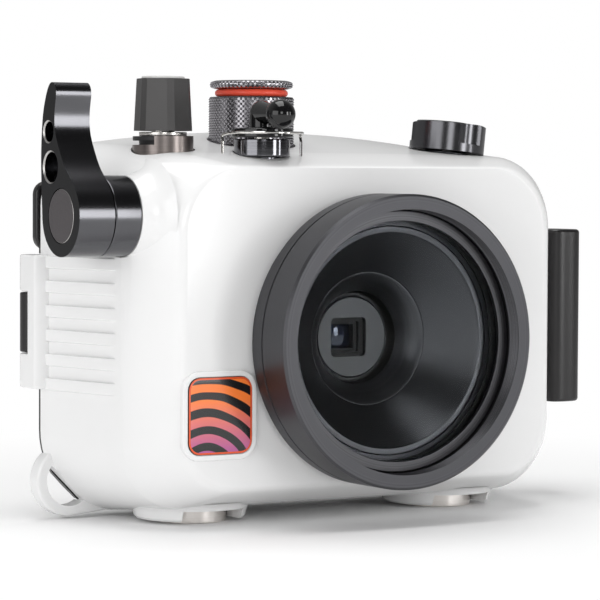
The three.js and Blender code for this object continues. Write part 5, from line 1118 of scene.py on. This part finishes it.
# The sleeve has a key in the collar's notch, which keeps it from turning
key = shaped(tube(SLEEVE_SHANK + SEAT_GAP, COLLAR_RADIUS - SEAT_GAP, COLLAR_BOTTOM, COLLAR_TOP - SEAT_GAP,
                  AXES["z"], POWER), [notch_block(NOTCH_FLOOR + POWER_TRAVEL, SEAT_GAP)], "INTERSECT")
sleeve = flanged(power_bore, SLEEVE_SHANK, NECK_RADIUS, SLEEVE_BOTTOM, sleeve_step, COLLAR_TOP - SEAT_GAP,
                 AXES["z"], POWER)
sleeve = gathered(ease_edges(sleeve, 0.2), ease_edges(key, 0.15))
finish_piece(sleeve, "power_sleeve_moulded", inner_plastic, "power_press", "black_plastic", "power_sleeve")
neck = tube(power_bore, NECK_RADIUS, COLLAR_TOP, NECK_TOP, AXES["z"], POWER)
finish_piece(ease_edges(neck, 0.15), "power_neck_ring", drawn_steel, "power_press", "steel")

KNOB_BOTTOM, KNOB_TOP, KNOB_BASE, KNOB_HEAD, KNOB_TURN, FACET_DEGREES = 53.2, 66.5, 7.5, 6.8, -13, 44.6
NECK_POCKET, KNOB_CROWN = 3, 3.5
INSERT_RADIUS, INSERT_BOTTOM, INSERT_TOP = 5.5, 65.7, 67.1
# Blasted before it was anodised: an even dark grey that spreads the light
satin_grey = grained("satin_grey_anodised_aluminium", ["#4c4b4b", "#575656"], 8, (0.42, 0.5), 0.25, 0.006,
                     0.6)


def facet_ring(radius, height):
    """Six wide flats and six narrow chamfers."""
    angles = [math.radians(KNOB_TURN + 60 * side + turn * FACET_DEGREES / 2)
              for side in range(6) for turn in (-1, 1)]
    return [(POWER[0] + radius * math.cos(a), POWER[1] + radius * math.sin(a), height) for a in angles]


knob = skin([facet_ring(KNOB_BASE, KNOB_BOTTOM), facet_ring(KNOB_HEAD, KNOB_TOP)])
knob_cuts = [rod(NECK_RADIUS + FIT_GAP, KNOB_BOTTOM - OVERLAP, KNOB_BOTTOM + NECK_POCKET, AXES["z"], POWER),
             rod(power_bore, KNOB_BOTTOM - OVERLAP, KNOB_TOP - KNOB_CROWN, AXES["z"], POWER, 32),
             rod(INSERT_RADIUS + SEAT_GAP, INSERT_BOTTOM - SEAT_GAP, KNOB_TOP + OVERLAP, AXES["z"], POWER)]
knob = ease_edges(shaped(knob, knob_cuts, "DIFFERENCE"), 0.3, corner=12)
finish_piece(knob, "power_knob_cap", satin_grey, "power_turn", "satin_grey", "power_knob", sharp=20)
# Moulded insert: pale grey with a soft gloss
pale_insert = grained("pale_knob_insert", ["#cfcfcd", "#dadad8"], 5, (0.3, 0.4), 0.5, 0.01)
insert = ease_edges(rod(INSERT_RADIUS, INSERT_BOTTOM, INSERT_TOP, AXES["z"], POWER), 0.3)
finish_piece(insert, "power_knob_inlay", pale_insert, "power_turn", "white_plastic", "power_knob_insert")

# Accessory port
#
# A drum of black anodised aluminium with a diamond knurl, closed by a screw cap with the same knurl
# over a red seal. It is screwed into the roof through a plain base ring.

VALVE = (-18, 49, 0)
DRUM_RADIUS, DRUM_BOTTOM, DRUM_TOP = 11.25, 49.5, 62.4
CAP_EDGE_RADIUS, CAP_TOP, CAP_ROUNDING = 11, 66.7, 1.1
SEAL_RADIUS, SEAL_THICKNESS = 8.65, 1.9
KNURL_COUNT, KNURL_DEPTH = 56, 0.42
BASE_BORE, BASE_RADIUS, BASE_BOTTOM, BASE_TOP = 6.5, 10.9, 47.9, 49.4
AIR_HOLE, VALVE_SHANK, VALVE_SHANK_END = 1.6, 6.2, 41
STEM_BORE, STEM_BORE_FLOOR, CAP_STEM, CAP_STEM_END = 5.4, 56.5, 5, 57.5
# Cut by the knurling tool and dyed: its many small faces glint
valve_metal = turned_metal("knurled_black_anodised", ["#98969a", "#b0aeb2"], (0.2, 0.3), 0.3, 0.004,
                           AXES["z"], VALVE)


def knurled(radius, low, high, rounding=0):
    """Drum whose side is cut with two sets of crossing helical grooves, with its edges rounded."""
    columns = 4 * KNURL_COUNT
    rise = 2 * math.pi * radius / columns
    rows = 4 * round((high - low) / rise / 4)
    bm = bmesh.new()
    bmesh.ops.create_grid(bm, x_segments=columns, y_segments=rows, size=0.5)
    for vert in bm.verts:
        column, row = round((vert.co.x + 0.5) * columns), round((vert.co.y + 0.5) * rows)
        crossings = [(column + row) % 4, (column - row) % 4]
        height = min(2 - abs(c - 2) for c in crossings) / 2
        from_edge = min(row, rows - row) * (high - low) / rows
        reach = radius - KNURL_DEPTH * (1 - height) if from_edge > 0 else radius - KNURL_DEPTH
        if from_edge < rounding:
            reach -= rounding - math.sqrt(rounding ** 2 - (rounding - from_edge) ** 2)
        angle = 2 * math.pi * column / columns
        vert.co = (VALVE[0] + reach * math.cos(angle), VALVE[1] + reach * math.sin(angle),
                   low + (high - low) * row / rows)
    bmesh.ops.remove_doubles(bm, verts=bm.verts, dist=DOUBLE)
    return bm


def capped(bm, low, high):
    """The same drum, closed by flat faces at both ends."""
    for end in (low, high):
        rim = [edge for edge in bm.edges
               if edge.is_boundary and all(abs(vert.co.z - end) < DOUBLE for vert in edge.verts)]
        bmesh.ops.edgeloop_fill(bm, edges=rim)
    bmesh.ops.recalc_face_normals(bm, faces=bm.faces)
    return bm


base = ease_edges(tube(BASE_BORE, BASE_RADIUS, BASE_BOTTOM, BASE_TOP, AXES["z"], VALVE), 0.2)
finish_piece(base, "valve_base_turned", valve_metal, "housing", "dark_metal", "valve_base_ring")
drum = capped(knurled(DRUM_RADIUS, DRUM_BOTTOM, DRUM_TOP), DRUM_BOTTOM, DRUM_TOP)
drum = shaped(drum, [rod(STEM_BORE, STEM_BORE_FLOOR, DRUM_TOP + OVERLAP, AXES["z"], VALVE)], "DIFFERENCE")
shank = tube(AIR_HOLE, VALVE_SHANK, VALVE_SHANK_END, DRUM_BOTTOM, AXES["z"], VALVE, 48)
finish_piece(gathered(drum, shank), "valve_drum", valve_metal, "housing", "dark_metal", "valve_body",
             sharp=20)
# Silicone: smooth, with a soft gloss over a bright colour
seal_rubber = grained("orange_red_silicone", ["#f2503a", "#fa6148"], 3, (0.3, 0.4), 0.3, 0.004)
seal_middle = DRUM_TOP + SEAT_GAP + SEAL_THICKNESS / 2
seal_profile = arc(SEAL_RADIUS, seal_middle, SEAL_THICKNESS / 2, 0, 340, 17)
finish_piece(turned(seal_profile, AXES["z"], VALVE), "valve_seal_ring", seal_rubber, "valve_lift",
             "red_rubber", "valve_cap_seal")
cap_low = DRUM_TOP + SEAL_THICKNESS + 2 * SEAT_GAP
cap = capped(knurled(CAP_EDGE_RADIUS, cap_low, CAP_TOP, CAP_ROUNDING), cap_low, CAP_TOP)
stem = rod(CAP_STEM, CAP_STEM_END, cap_low, AXES["z"], VALVE, 48)
finish_piece(gathered(cap, stem), "valve_screw_cap", valve_metal, "valve_turn", "dark_metal", "valve_cap",
             sharp=20)

# Zoom control
#
# A small glossy lever with a ball end on a polished gland. A bent steel wire in the roof pulls it
# back to the middle; a fork under the roof turns the camera's zoom ring.

ZOOM = (-26.1, 30, 0)
SHAFT_BORE, ZOOM_SHANK, ZOOM_SHANK_END = 2.3, 4.4, 41.5
ZOOM_GLAND_RADIUS, ZOOM_GLAND_BOTTOM, ZOOM_GLAND_TOP = 7.15, 46.8, 51.3
HUB_RADIUS, HUB_BOTTOM, HUB_TOP, ARM_HEIGHT, ARM_NECK, ARM_END = 8, 51.6, 54, 57.9, 3.2, 2.2
BALL_RADIUS, BALL_REACH, BALL_HEIGHT, ARM_TURN = 3.8, 12, 57.4, -8.2
# Polished plastic and metal: deep black, and a dark mirror
gloss_black = grained("polished_black_plastic", ["#0e0e0f", "#141415"], 15, (0.05, 0.1), 6, 0.002)
polished_metal = turned_metal("polished_dark_metal", ["#66666a", "#7a7a7e"], (0.08, 0.14), 0.4, 0.003,
                              AXES["z"], ZOOM)
gland = flanged(SHAFT_BORE, ZOOM_SHANK, ZOOM_GLAND_RADIUS, ZOOM_SHANK_END, ZOOM_GLAND_BOTTOM,
                ZOOM_GLAND_TOP, AXES["z"], ZOOM)
finish_piece(ease_edges(gland, 0.35), "zoom_gland_turned", polished_metal, "housing", "dark_metal",
             "zoom_gland")
hub = ease_edges(flanged(0, ARM_NECK, HUB_RADIUS, ARM_HEIGHT, HUB_TOP, HUB_BOTTOM, AXES["z"], ZOOM), 0.4)


def sphere(radius, place, segments):
    """Ball about a place."""
    bm = bmesh.new()
    bmesh.ops.create_uvsphere(bm, u_segments=segments, v_segments=segments // 2, radius=radius)
    bmesh.ops.translate(bm, verts=bm.verts, vec=place)
    return bm


arm_direction = Vector((math.sin(math.radians(ARM_TURN)), -math.cos(math.radians(ARM_TURN)), 0))
arm_start = Vector((ZOOM[0], ZOOM[1], ARM_HEIGHT))
ball_place = Vector((ZOOM[0], ZOOM[1], BALL_HEIGHT)) + arm_direction * BALL_REACH
arm_length = BALL_REACH - BALL_RADIUS
arm = turned([[0, 0], [ARM_NECK, 0], [ARM_END, arm_length], [0, arm_length]], ball_place - arm_start,
             arm_start, 48)
shoulder = sphere(ARM_NECK, arm_start, 48)
finish_piece(gathered(hub, shoulder, arm), "zoom_hub_moulded", gloss_black, "zoom", "gloss_black",
             "zoom_hub")
ball = sphere(BALL_RADIUS, ball_place, 64)
finish_piece(ball, "zoom_ball_end", gloss_black, "zoom", "gloss_black", "zoom_ball")

# The wire lies round the gland's front, and its two legs go down into the roof beside it
WIRE_RADIUS, WIRE_HEIGHT, WIRE_FRONT, WIRE_END, WIRE_LEG, WIRE_TURN = 0.36, 52.8, 10.4, 10.9, 7.2, -8
WIRE_STEPS = 7


def wire_point(angle, radius, height):
    """Point of the wire round the hub, from straight ahead to the right."""
    turn = math.radians(WIRE_TURN + angle)
    return Vector((ZOOM[0] + radius * math.sin(turn), ZOOM[1] - radius * math.cos(turn), height))


def wire_leg(side):
    """Points of one leg, from its foot to the bend at its top."""
    return [wire_point(90 * side, WIRE_END, WIRE_HEIGHT - WIRE_LEG),
            wire_point(90 * side, WIRE_END, WIRE_HEIGHT - WIRE_LEG / 2),
            wire_point(90 * side, WIRE_END, WIRE_HEIGHT - 6 * WIRE_RADIUS),
            wire_point(90 * side, WIRE_END - WIRE_RADIUS / 2, WIRE_HEIGHT - 1.5 * WIRE_RADIUS)]


wire_front = [wire_point(180 * (step / WIRE_STEPS - 0.5), WIRE_FRONT, WIRE_HEIGHT)
              for step in range(1, WIRE_STEPS)]
wire_points = [*wire_leg(-1), *wire_front, *reversed(wire_leg(1))]
wire_curve = bpy.data.curves.new("wire_path", "CURVE")
wire_curve.dimensions = "3D"
wire_curve.bevel_depth = WIRE_RADIUS
wire_curve.bevel_resolution = 3
wire_curve.use_fill_caps = True
spline = wire_curve.splines.new("POLY")
path = smooth_path([tuple(point) for point in wire_points], 8)
spline.points.add(len(path) - 1)
for point, place in zip(spline.points, path):
    point.co = (*place, 1)
wire_object = bpy.data.objects.new("wire_path", wire_curve)
scene.collection.objects.link(wire_object)
bpy.context.view_layer.update()
wire = bmesh.new()
wire.from_mesh(wire_object.evaluated_get(bpy.context.evaluated_depsgraph_get()).to_mesh())
bpy.data.objects.remove(wire_object)
bpy.data.curves.remove(wire_curve)
bmesh.ops.recalc_face_normals(wire, faces=wire.faces)
# Polished wire: thin bright lines along it
spring_wire = grained("polished_spring_wire", ["#cdcbc8", "#dfddd9"], 3, (0.1, 0.16), 0.2, 0.0005, 1.0)
finish_piece(wire, "zoom_wire", spring_wire, "housing", "steel", "zoom_spring")

# Dial
#
# A black anodised dial with three finger scallops, on a steel shaft that ends in a rubber wheel on
# the camera's own dial. It stands square to the arched roof.

DIAL_BOTTOM, DIAL_TOP, DIAL_CROWN = 0.9, 8.9, 0.6
FLUTE_RADIUS, FLUTE_OFFSET, FLUTE_FLOOR, FLUTE_TURN = 6.2, 14.2, 3.1, -86
DIAL_BORE, DIAL_BORE_TOP = 2.1, 4.9
DIAL_SHANK_END, DIAL_FLANGE, DIAL_FLANGE_BOTTOM, DIAL_FLANGE_TOP = -6.5, 6, 0.1, 0.7
blank = turned([[0, DIAL_BOTTOM], [DIAL_RADIUS, DIAL_BOTTOM], [DIAL_RADIUS, DIAL_TOP - DIAL_CROWN],
                [DIAL_RADIUS - DIAL_CROWN, DIAL_TOP - DIAL_CROWN / 2], [0, DIAL_TOP]],
               AXES["z"], (0, 0, 0), 128)
dial_cuts = []
for number in range(3):
    turn = math.radians(FLUTE_TURN + 120 * number)
    flute_middle = (FLUTE_OFFSET * math.cos(turn), FLUTE_OFFSET * math.sin(turn), 0)
    dial_cuts.append(rod(FLUTE_RADIUS, FLUTE_FLOOR, DIAL_TOP + OVERLAP, AXES["z"], flute_middle, 96))
dial_cuts.append(rod(DIAL_BORE, DIAL_BOTTOM - OVERLAP, DIAL_BORE_TOP, AXES["z"], (0, 0, 0), 32))
dial = ease_edges(shaped(blank, dial_cuts, "DIFFERENCE"), 0.35, corner=40)
bmesh.ops.transform(dial, matrix=DIAL_PLACE, verts=dial.verts)
finish_piece(dial, "dial_scalloped", black_gloss_metal, "dial", "gloss_black", "dial_knob")
dial_axis = DIAL_PLACE.to_3x3() @ Vector((0, 0, 1))
# Turned and dyed dark, with fine rings
dial_metal = turned_metal("dial_gland_metal", ["#3c3d40", "#505154"], (0.25, 0.35), 0.3, 0.006,
                          dial_axis, DIAL_PLACE.translation)
gland = flanged(SHAFT_BORE, DIAL_SHANK_RADIUS, DIAL_FLANGE, DIAL_SHANK_END, DIAL_FLANGE_BOTTOM,
                DIAL_FLANGE_TOP, AXES["z"], (0, 0, 0), 64)
bmesh.ops.transform(gland, matrix=DIAL_PLACE, verts=gland.verts)
finish_piece(ease_edges(gland, 0.12, segments=2), "dial_gland_turned", dial_metal, "housing", "dark_metal",
             "dial_gland")

# Door
#
# A black moulded frame round a clear window, with a seal in its groove. It swings on a pin through
# the shell's two lugs, and eight spring-loaded buttons run through a plate on its window.

DOOR_FRONT, DOOR_BACK, DOOR_LIP = 64.8, 68.7, 66.0
SILL, RABBET, DOOR_INSET, DOOR_EDGE, DOOR_BACK_INSET = 10, 2.6, 0.4, 1.4, 3.4
THUMB_TOP, THUMB_BOTTOM, THUMB_X, THUMB_REACH, THUMB_RADIUS = 40.2, 22.4, -72.4, 4, 3.4
SEAL_OUTER, SEAL_INNER, SEAL_SEAT, SEAL_STAND = 4.5, 6.5, 1.2, 0.2
# Moulded in a finely etched tool: black with a broad soft sheen
moulded_black = grained("moulded_black_plastic", ["#141314", "#1e1c1d"], 14, (0.24, 0.34), 0.5, 0.02)
door_sections = [(DOOR_FRONT, DOOR_INSET), (DOOR_FRONT + DOOR_EDGE, DOOR_INSET),
                 (DOOR_BACK, DOOR_BACK_INSET)]
panel = skin([shell_ring({**drawn_in(RIM, inset), "depth": depth}, TOP_RADIUS - inset)
              for depth, inset in door_sections])
knuckle_plan = [(HINGE_X + 2 * BARREL_RADIUS, DOOR_LIP), (HINGE_X + 2 * BARREL_RADIUS, DOOR_BACK),
                (HINGE_X + BARREL_RADIUS, DOOR_BACK)]
knuckle_plan += arc(HINGE_X, HINGE_DEPTH, BARREL_RADIUS, 0, 270, 24)
knuckle = ease_edges(drawn_out(knuckle_plan, "z", KNUCKLE_BOTTOM, KNUCKLE_TOP), 0.4)
thumb_outline = rounded_rectangle(2 * THUMB_REACH, THUMB_TOP - THUMB_BOTTOM, THUMB_RADIUS,
                                  THUMB_X + THUMB_REACH, (THUMB_TOP + THUMB_BOTTOM) / 2)
thumb = ease_edges(drawn_out(thumb_outline, "y", DOOR_LIP, DOOR_BACK), 0.8)
lug_notch = block((HINGE_X - 2 * BARREL_RADIUS, HINGE_X + BARREL_RADIUS + FIT_GAP),
                  (DOOR_FRONT - OVERLAP, DOOR_BACK + OVERLAP), (LUG_BOTTOM - FIT_GAP, LUG_TOP + FIT_GAP))
panel = shaped(panel, [lug_notch], "DIFFERENCE")
panel = shaped(panel, [knuckle, thumb], "UNION")
groove = shaped(door_slab(SEAL_OUTER, DOOR_FRONT - OVERLAP, DOOR_FRONT + SEAL_SEAT),
                [door_slab(SEAL_INNER, DOOR_FRONT - 2 * OVERLAP, DOOR_FRONT + 2 * OVERLAP)], "DIFFERENCE")
door_cuts = [door_slab(SILL, DOOR_FRONT - OVERLAP, DOOR_BACK + OVERLAP),
             door_slab(SILL - RABBET, DOOR_LIP, DOOR_BACK + OVERLAP), groove,
             rod(HINGE_PIN_RADIUS + FIT_GAP, LUG_BOTTOM, LUG_TOP, AXES["z"], (HINGE_X, HINGE_DEPTH, 0), 32),
             eye_hole(-1, FIT_GAP), eye_hole(1, FIT_GAP)]
panel = shaped(panel, door_cuts, "DIFFERENCE")
finish_piece(panel, "door_frame_moulding", moulded_black, "door", "black_plastic", "door_frame")

seal = shaped(door_slab(SEAL_OUTER + SEAT_GAP, DOOR_FRONT - SEAL_STAND, DOOR_FRONT + SEAL_SEAT - SEAT_GAP),
              [door_slab(SEAL_INNER - SEAT_GAP, DOOR_FRONT - OVERLAP, DOOR_FRONT + 2 * OVERLAP)],
              "DIFFERENCE")
finish_piece(ease_edges(seal, 0.4, corner=60), "door_seal_ring", black_rubber, "door", "black_rubber",
             "door_seal")

# The window is clear polycarbonate, a little bluer and hazier than the port's glass. The plate on it
# guides the stems of the buttons, which end near the camera's own keys.
POLYCARBONATE_INDEX = 1.58
clear_plastic = clear_pane("clear_polycarbonate", ["#e6eef2", "#eef4f6"], 25, (0.02, 0.06),
                           POLYCARBONATE_INDEX)
PANE_FRONT, PANE_BACK, PLATE_FRONT, PLATE_BACK = 66.1, 70.1, 70.2, 71.8
PLATE_X, PLATE_WIDTH, PLATE_TALL, PLATE_CORNER = -41, 30, 60, 5
BUTTONS = {"ok": (0, 0), "up": (0, 9.5), "down": (0, -9.5), "left": (-9.5, 0), "right": (9.5, 0),
           "play": (-7.5, -22), "delete": (7.5, -22), "menu": (7.5, 22)}
BUTTON_RADIUS, BUTTON_HEIGHT, STEM_RADIUS, BUTTON_BOTTOM, BUTTON_TIP = 3.4, 2.6, 1.3, 73.9, 63.3


def stem_holes():
    """Tools for the holes that the buttons' stems run in."""
    return [rod(STEM_RADIUS + FIT_GAP, DOOR_FRONT - OVERLAP, PLATE_BACK + OVERLAP, AXES["y"],
                (PLATE_X + x, 0, z), 32) for x, z in BUTTONS.values()]


pane = shaped(door_slab(SILL - RABBET + FIT_GAP, PANE_FRONT, PANE_BACK), stem_holes(), "DIFFERENCE")
finish_piece(ease_edges(pane, 0.3, segments=2, corner=60), "door_window_pane", clear_plastic, "door",
             "clear_plastic", "door_window")
guide_outline = rounded_rectangle(PLATE_WIDTH, PLATE_TALL, PLATE_CORNER, PLATE_X)
guide = drawn_out(guide_outline, "y", PLATE_FRONT, PLATE_BACK)
guide = ease_edges(shaped(guide, stem_holes(), "DIFFERENCE"), 0.3)
finish_piece(guide, "button_guide_plate", moulded_black, "door", "black_plastic", "button_plate")
for name, (x, z) in BUTTONS.items():
    push = flanged(0, STEM_RADIUS, BUTTON_RADIUS, BUTTON_TIP, BUTTON_BOTTOM, BUTTON_BOTTOM + BUTTON_HEIGHT,
                   AXES["y"], (PLATE_X + x, 0, z), 48)
    finish_piece(ease_edges(push, 0.3), "push_" + name, gloss_black, "button_" + name, "black_plastic",
                 "button_" + name)

# Latch
#
# A moulded black bar on a steel pin through the shell's lug. Its bail hook draws the door's edge
# against the seal when the bar is folded along the wall.

GRIP_INNER, GRIP_OUTER, GRIP_FRONT, GRIP_LENGTH, GRIP_EDGE = 76.1, 86.4, 42, 12, 0.9
HEEL_RADIUS, LATCH_HALF, PIVOT_PIN_HALF, SLOT_REACH = 4, 24.1, 18, 8
NOSE_DEPTH, NOSE_POWER, NOSE_STEPS = 3.6, 2.6, 24
HOOK_X, HOOK_DEPTH, HOOK_PIN_RADIUS, HOOK_PIN_HALF, HOOK_EYE = 80.5, 53.5, 1.2, 12, 2.4
ARM_SPACING, ARM_THICKNESS, ARM_INNER = 9, 3, 79.7
BAR_INNER, BAR_REACH, BAR_DEPTH, BAR_THICKNESS = 69, 4.4, 69, 3


def nose_point(turn):
    """Point of the bar's round front edge, from its inner side to its outer side."""
    across, ahead = -math.cos(turn), math.sin(turn)
    half = (GRIP_OUTER - GRIP_INNER) / 2
    x = half * math.copysign(abs(across) ** (2 / NOSE_POWER), across)
    return (GRIP_INNER + half + x, GRIP_FRONT + NOSE_DEPTH * (1 - ahead ** (2 / NOSE_POWER)))


latch_plan = [nose_point(math.pi * step / NOSE_STEPS) for step in range(NOSE_STEPS + 1)]
latch_plan += [(GRIP_OUTER, GRIP_FRONT + GRIP_LENGTH)]
latch_plan += arc(PIVOT_X, PIVOT_DEPTH, HEEL_RADIUS, 0, 180, 16)
latch_plan += [(GRIP_INNER, GRIP_FRONT + GRIP_LENGTH)]


def latch_slot(middle, half):
    """Tool for a slot in the bar's heel, for the shell's lug or an arm of the bail."""
    return block((PIVOT_X - SLOT_REACH, GRIP_OUTER + OVERLAP),
                 (HOOK_DEPTH - HOOK_EYE - FIT_GAP, PIVOT_DEPTH + HEEL_RADIUS + OVERLAP),
                 (middle - half, middle + half))


def hook_bore():
    """Tool for the bore of the bail's pin."""
    return latch_pin(HOOK_X, HOOK_DEPTH, HOOK_PIN_RADIUS + FIT_GAP, HOOK_PIN_HALF + FIT_GAP)


bar = drawn_out(latch_plan, "z", LATCH_CENTRE - LATCH_HALF, LATCH_CENTRE + LATCH_HALF)
bar = shaped(ease_edges(bar, GRIP_EDGE, segments=4),
             [latch_slot(LATCH_CENTRE, LATCH_LUG_HALF + FIT_GAP),
              latch_slot(LATCH_CENTRE - ARM_SPACING, ARM_THICKNESS / 2 + FIT_GAP),
              latch_slot(LATCH_CENTRE + ARM_SPACING, ARM_THICKNESS / 2 + FIT_GAP),
              latch_pin(PIVOT_X, PIVOT_DEPTH, LATCH_PIN_RADIUS + FIT_GAP, PIVOT_PIN_HALF + FIT_GAP),
              hook_bore()], "DIFFERENCE")
finish_piece(bar, "latch_bar", moulded_black, "latch", "black_plastic", "latch_lever")

bar_back, bar_outer = BAR_DEPTH + BAR_THICKNESS, BAR_INNER + BAR_REACH
arm_plan = arc(HOOK_X, HOOK_DEPTH, HOOK_EYE, -90, 0)
arm_plan += [(HOOK_X + HOOK_EYE, PIVOT_DEPTH + HOOK_EYE), (bar_outer, bar_back), (bar_outer, BAR_DEPTH),
             (ARM_INNER, PIVOT_DEPTH + HOOK_EYE), (ARM_INNER, HOOK_DEPTH + HOOK_EYE)]
arm_plan += arc(HOOK_X, HOOK_DEPTH, HOOK_EYE, 180, 270)
arms = [drawn_out(arm_plan, "z", LATCH_CENTRE + side * ARM_SPACING - ARM_THICKNESS / 2,
                  LATCH_CENTRE + side * ARM_SPACING + ARM_THICKNESS / 2) for side in (-1, 1)]
hook_half = ARM_SPACING + ARM_THICKNESS / 2
cross_bar = block((BAR_INNER, bar_outer), (BAR_DEPTH, bar_back),
                  (LATCH_CENTRE - hook_half, LATCH_CENTRE + hook_half))
hook = shaped(cross_bar, arms, "UNION")
hook = shaped(ease_edges(hook, 0.3), [hook_bore()], "DIFFERENCE")
finish_piece(hook, "latch_bail", moulded_black, "latch_bail", "black_plastic", "latch_hook")
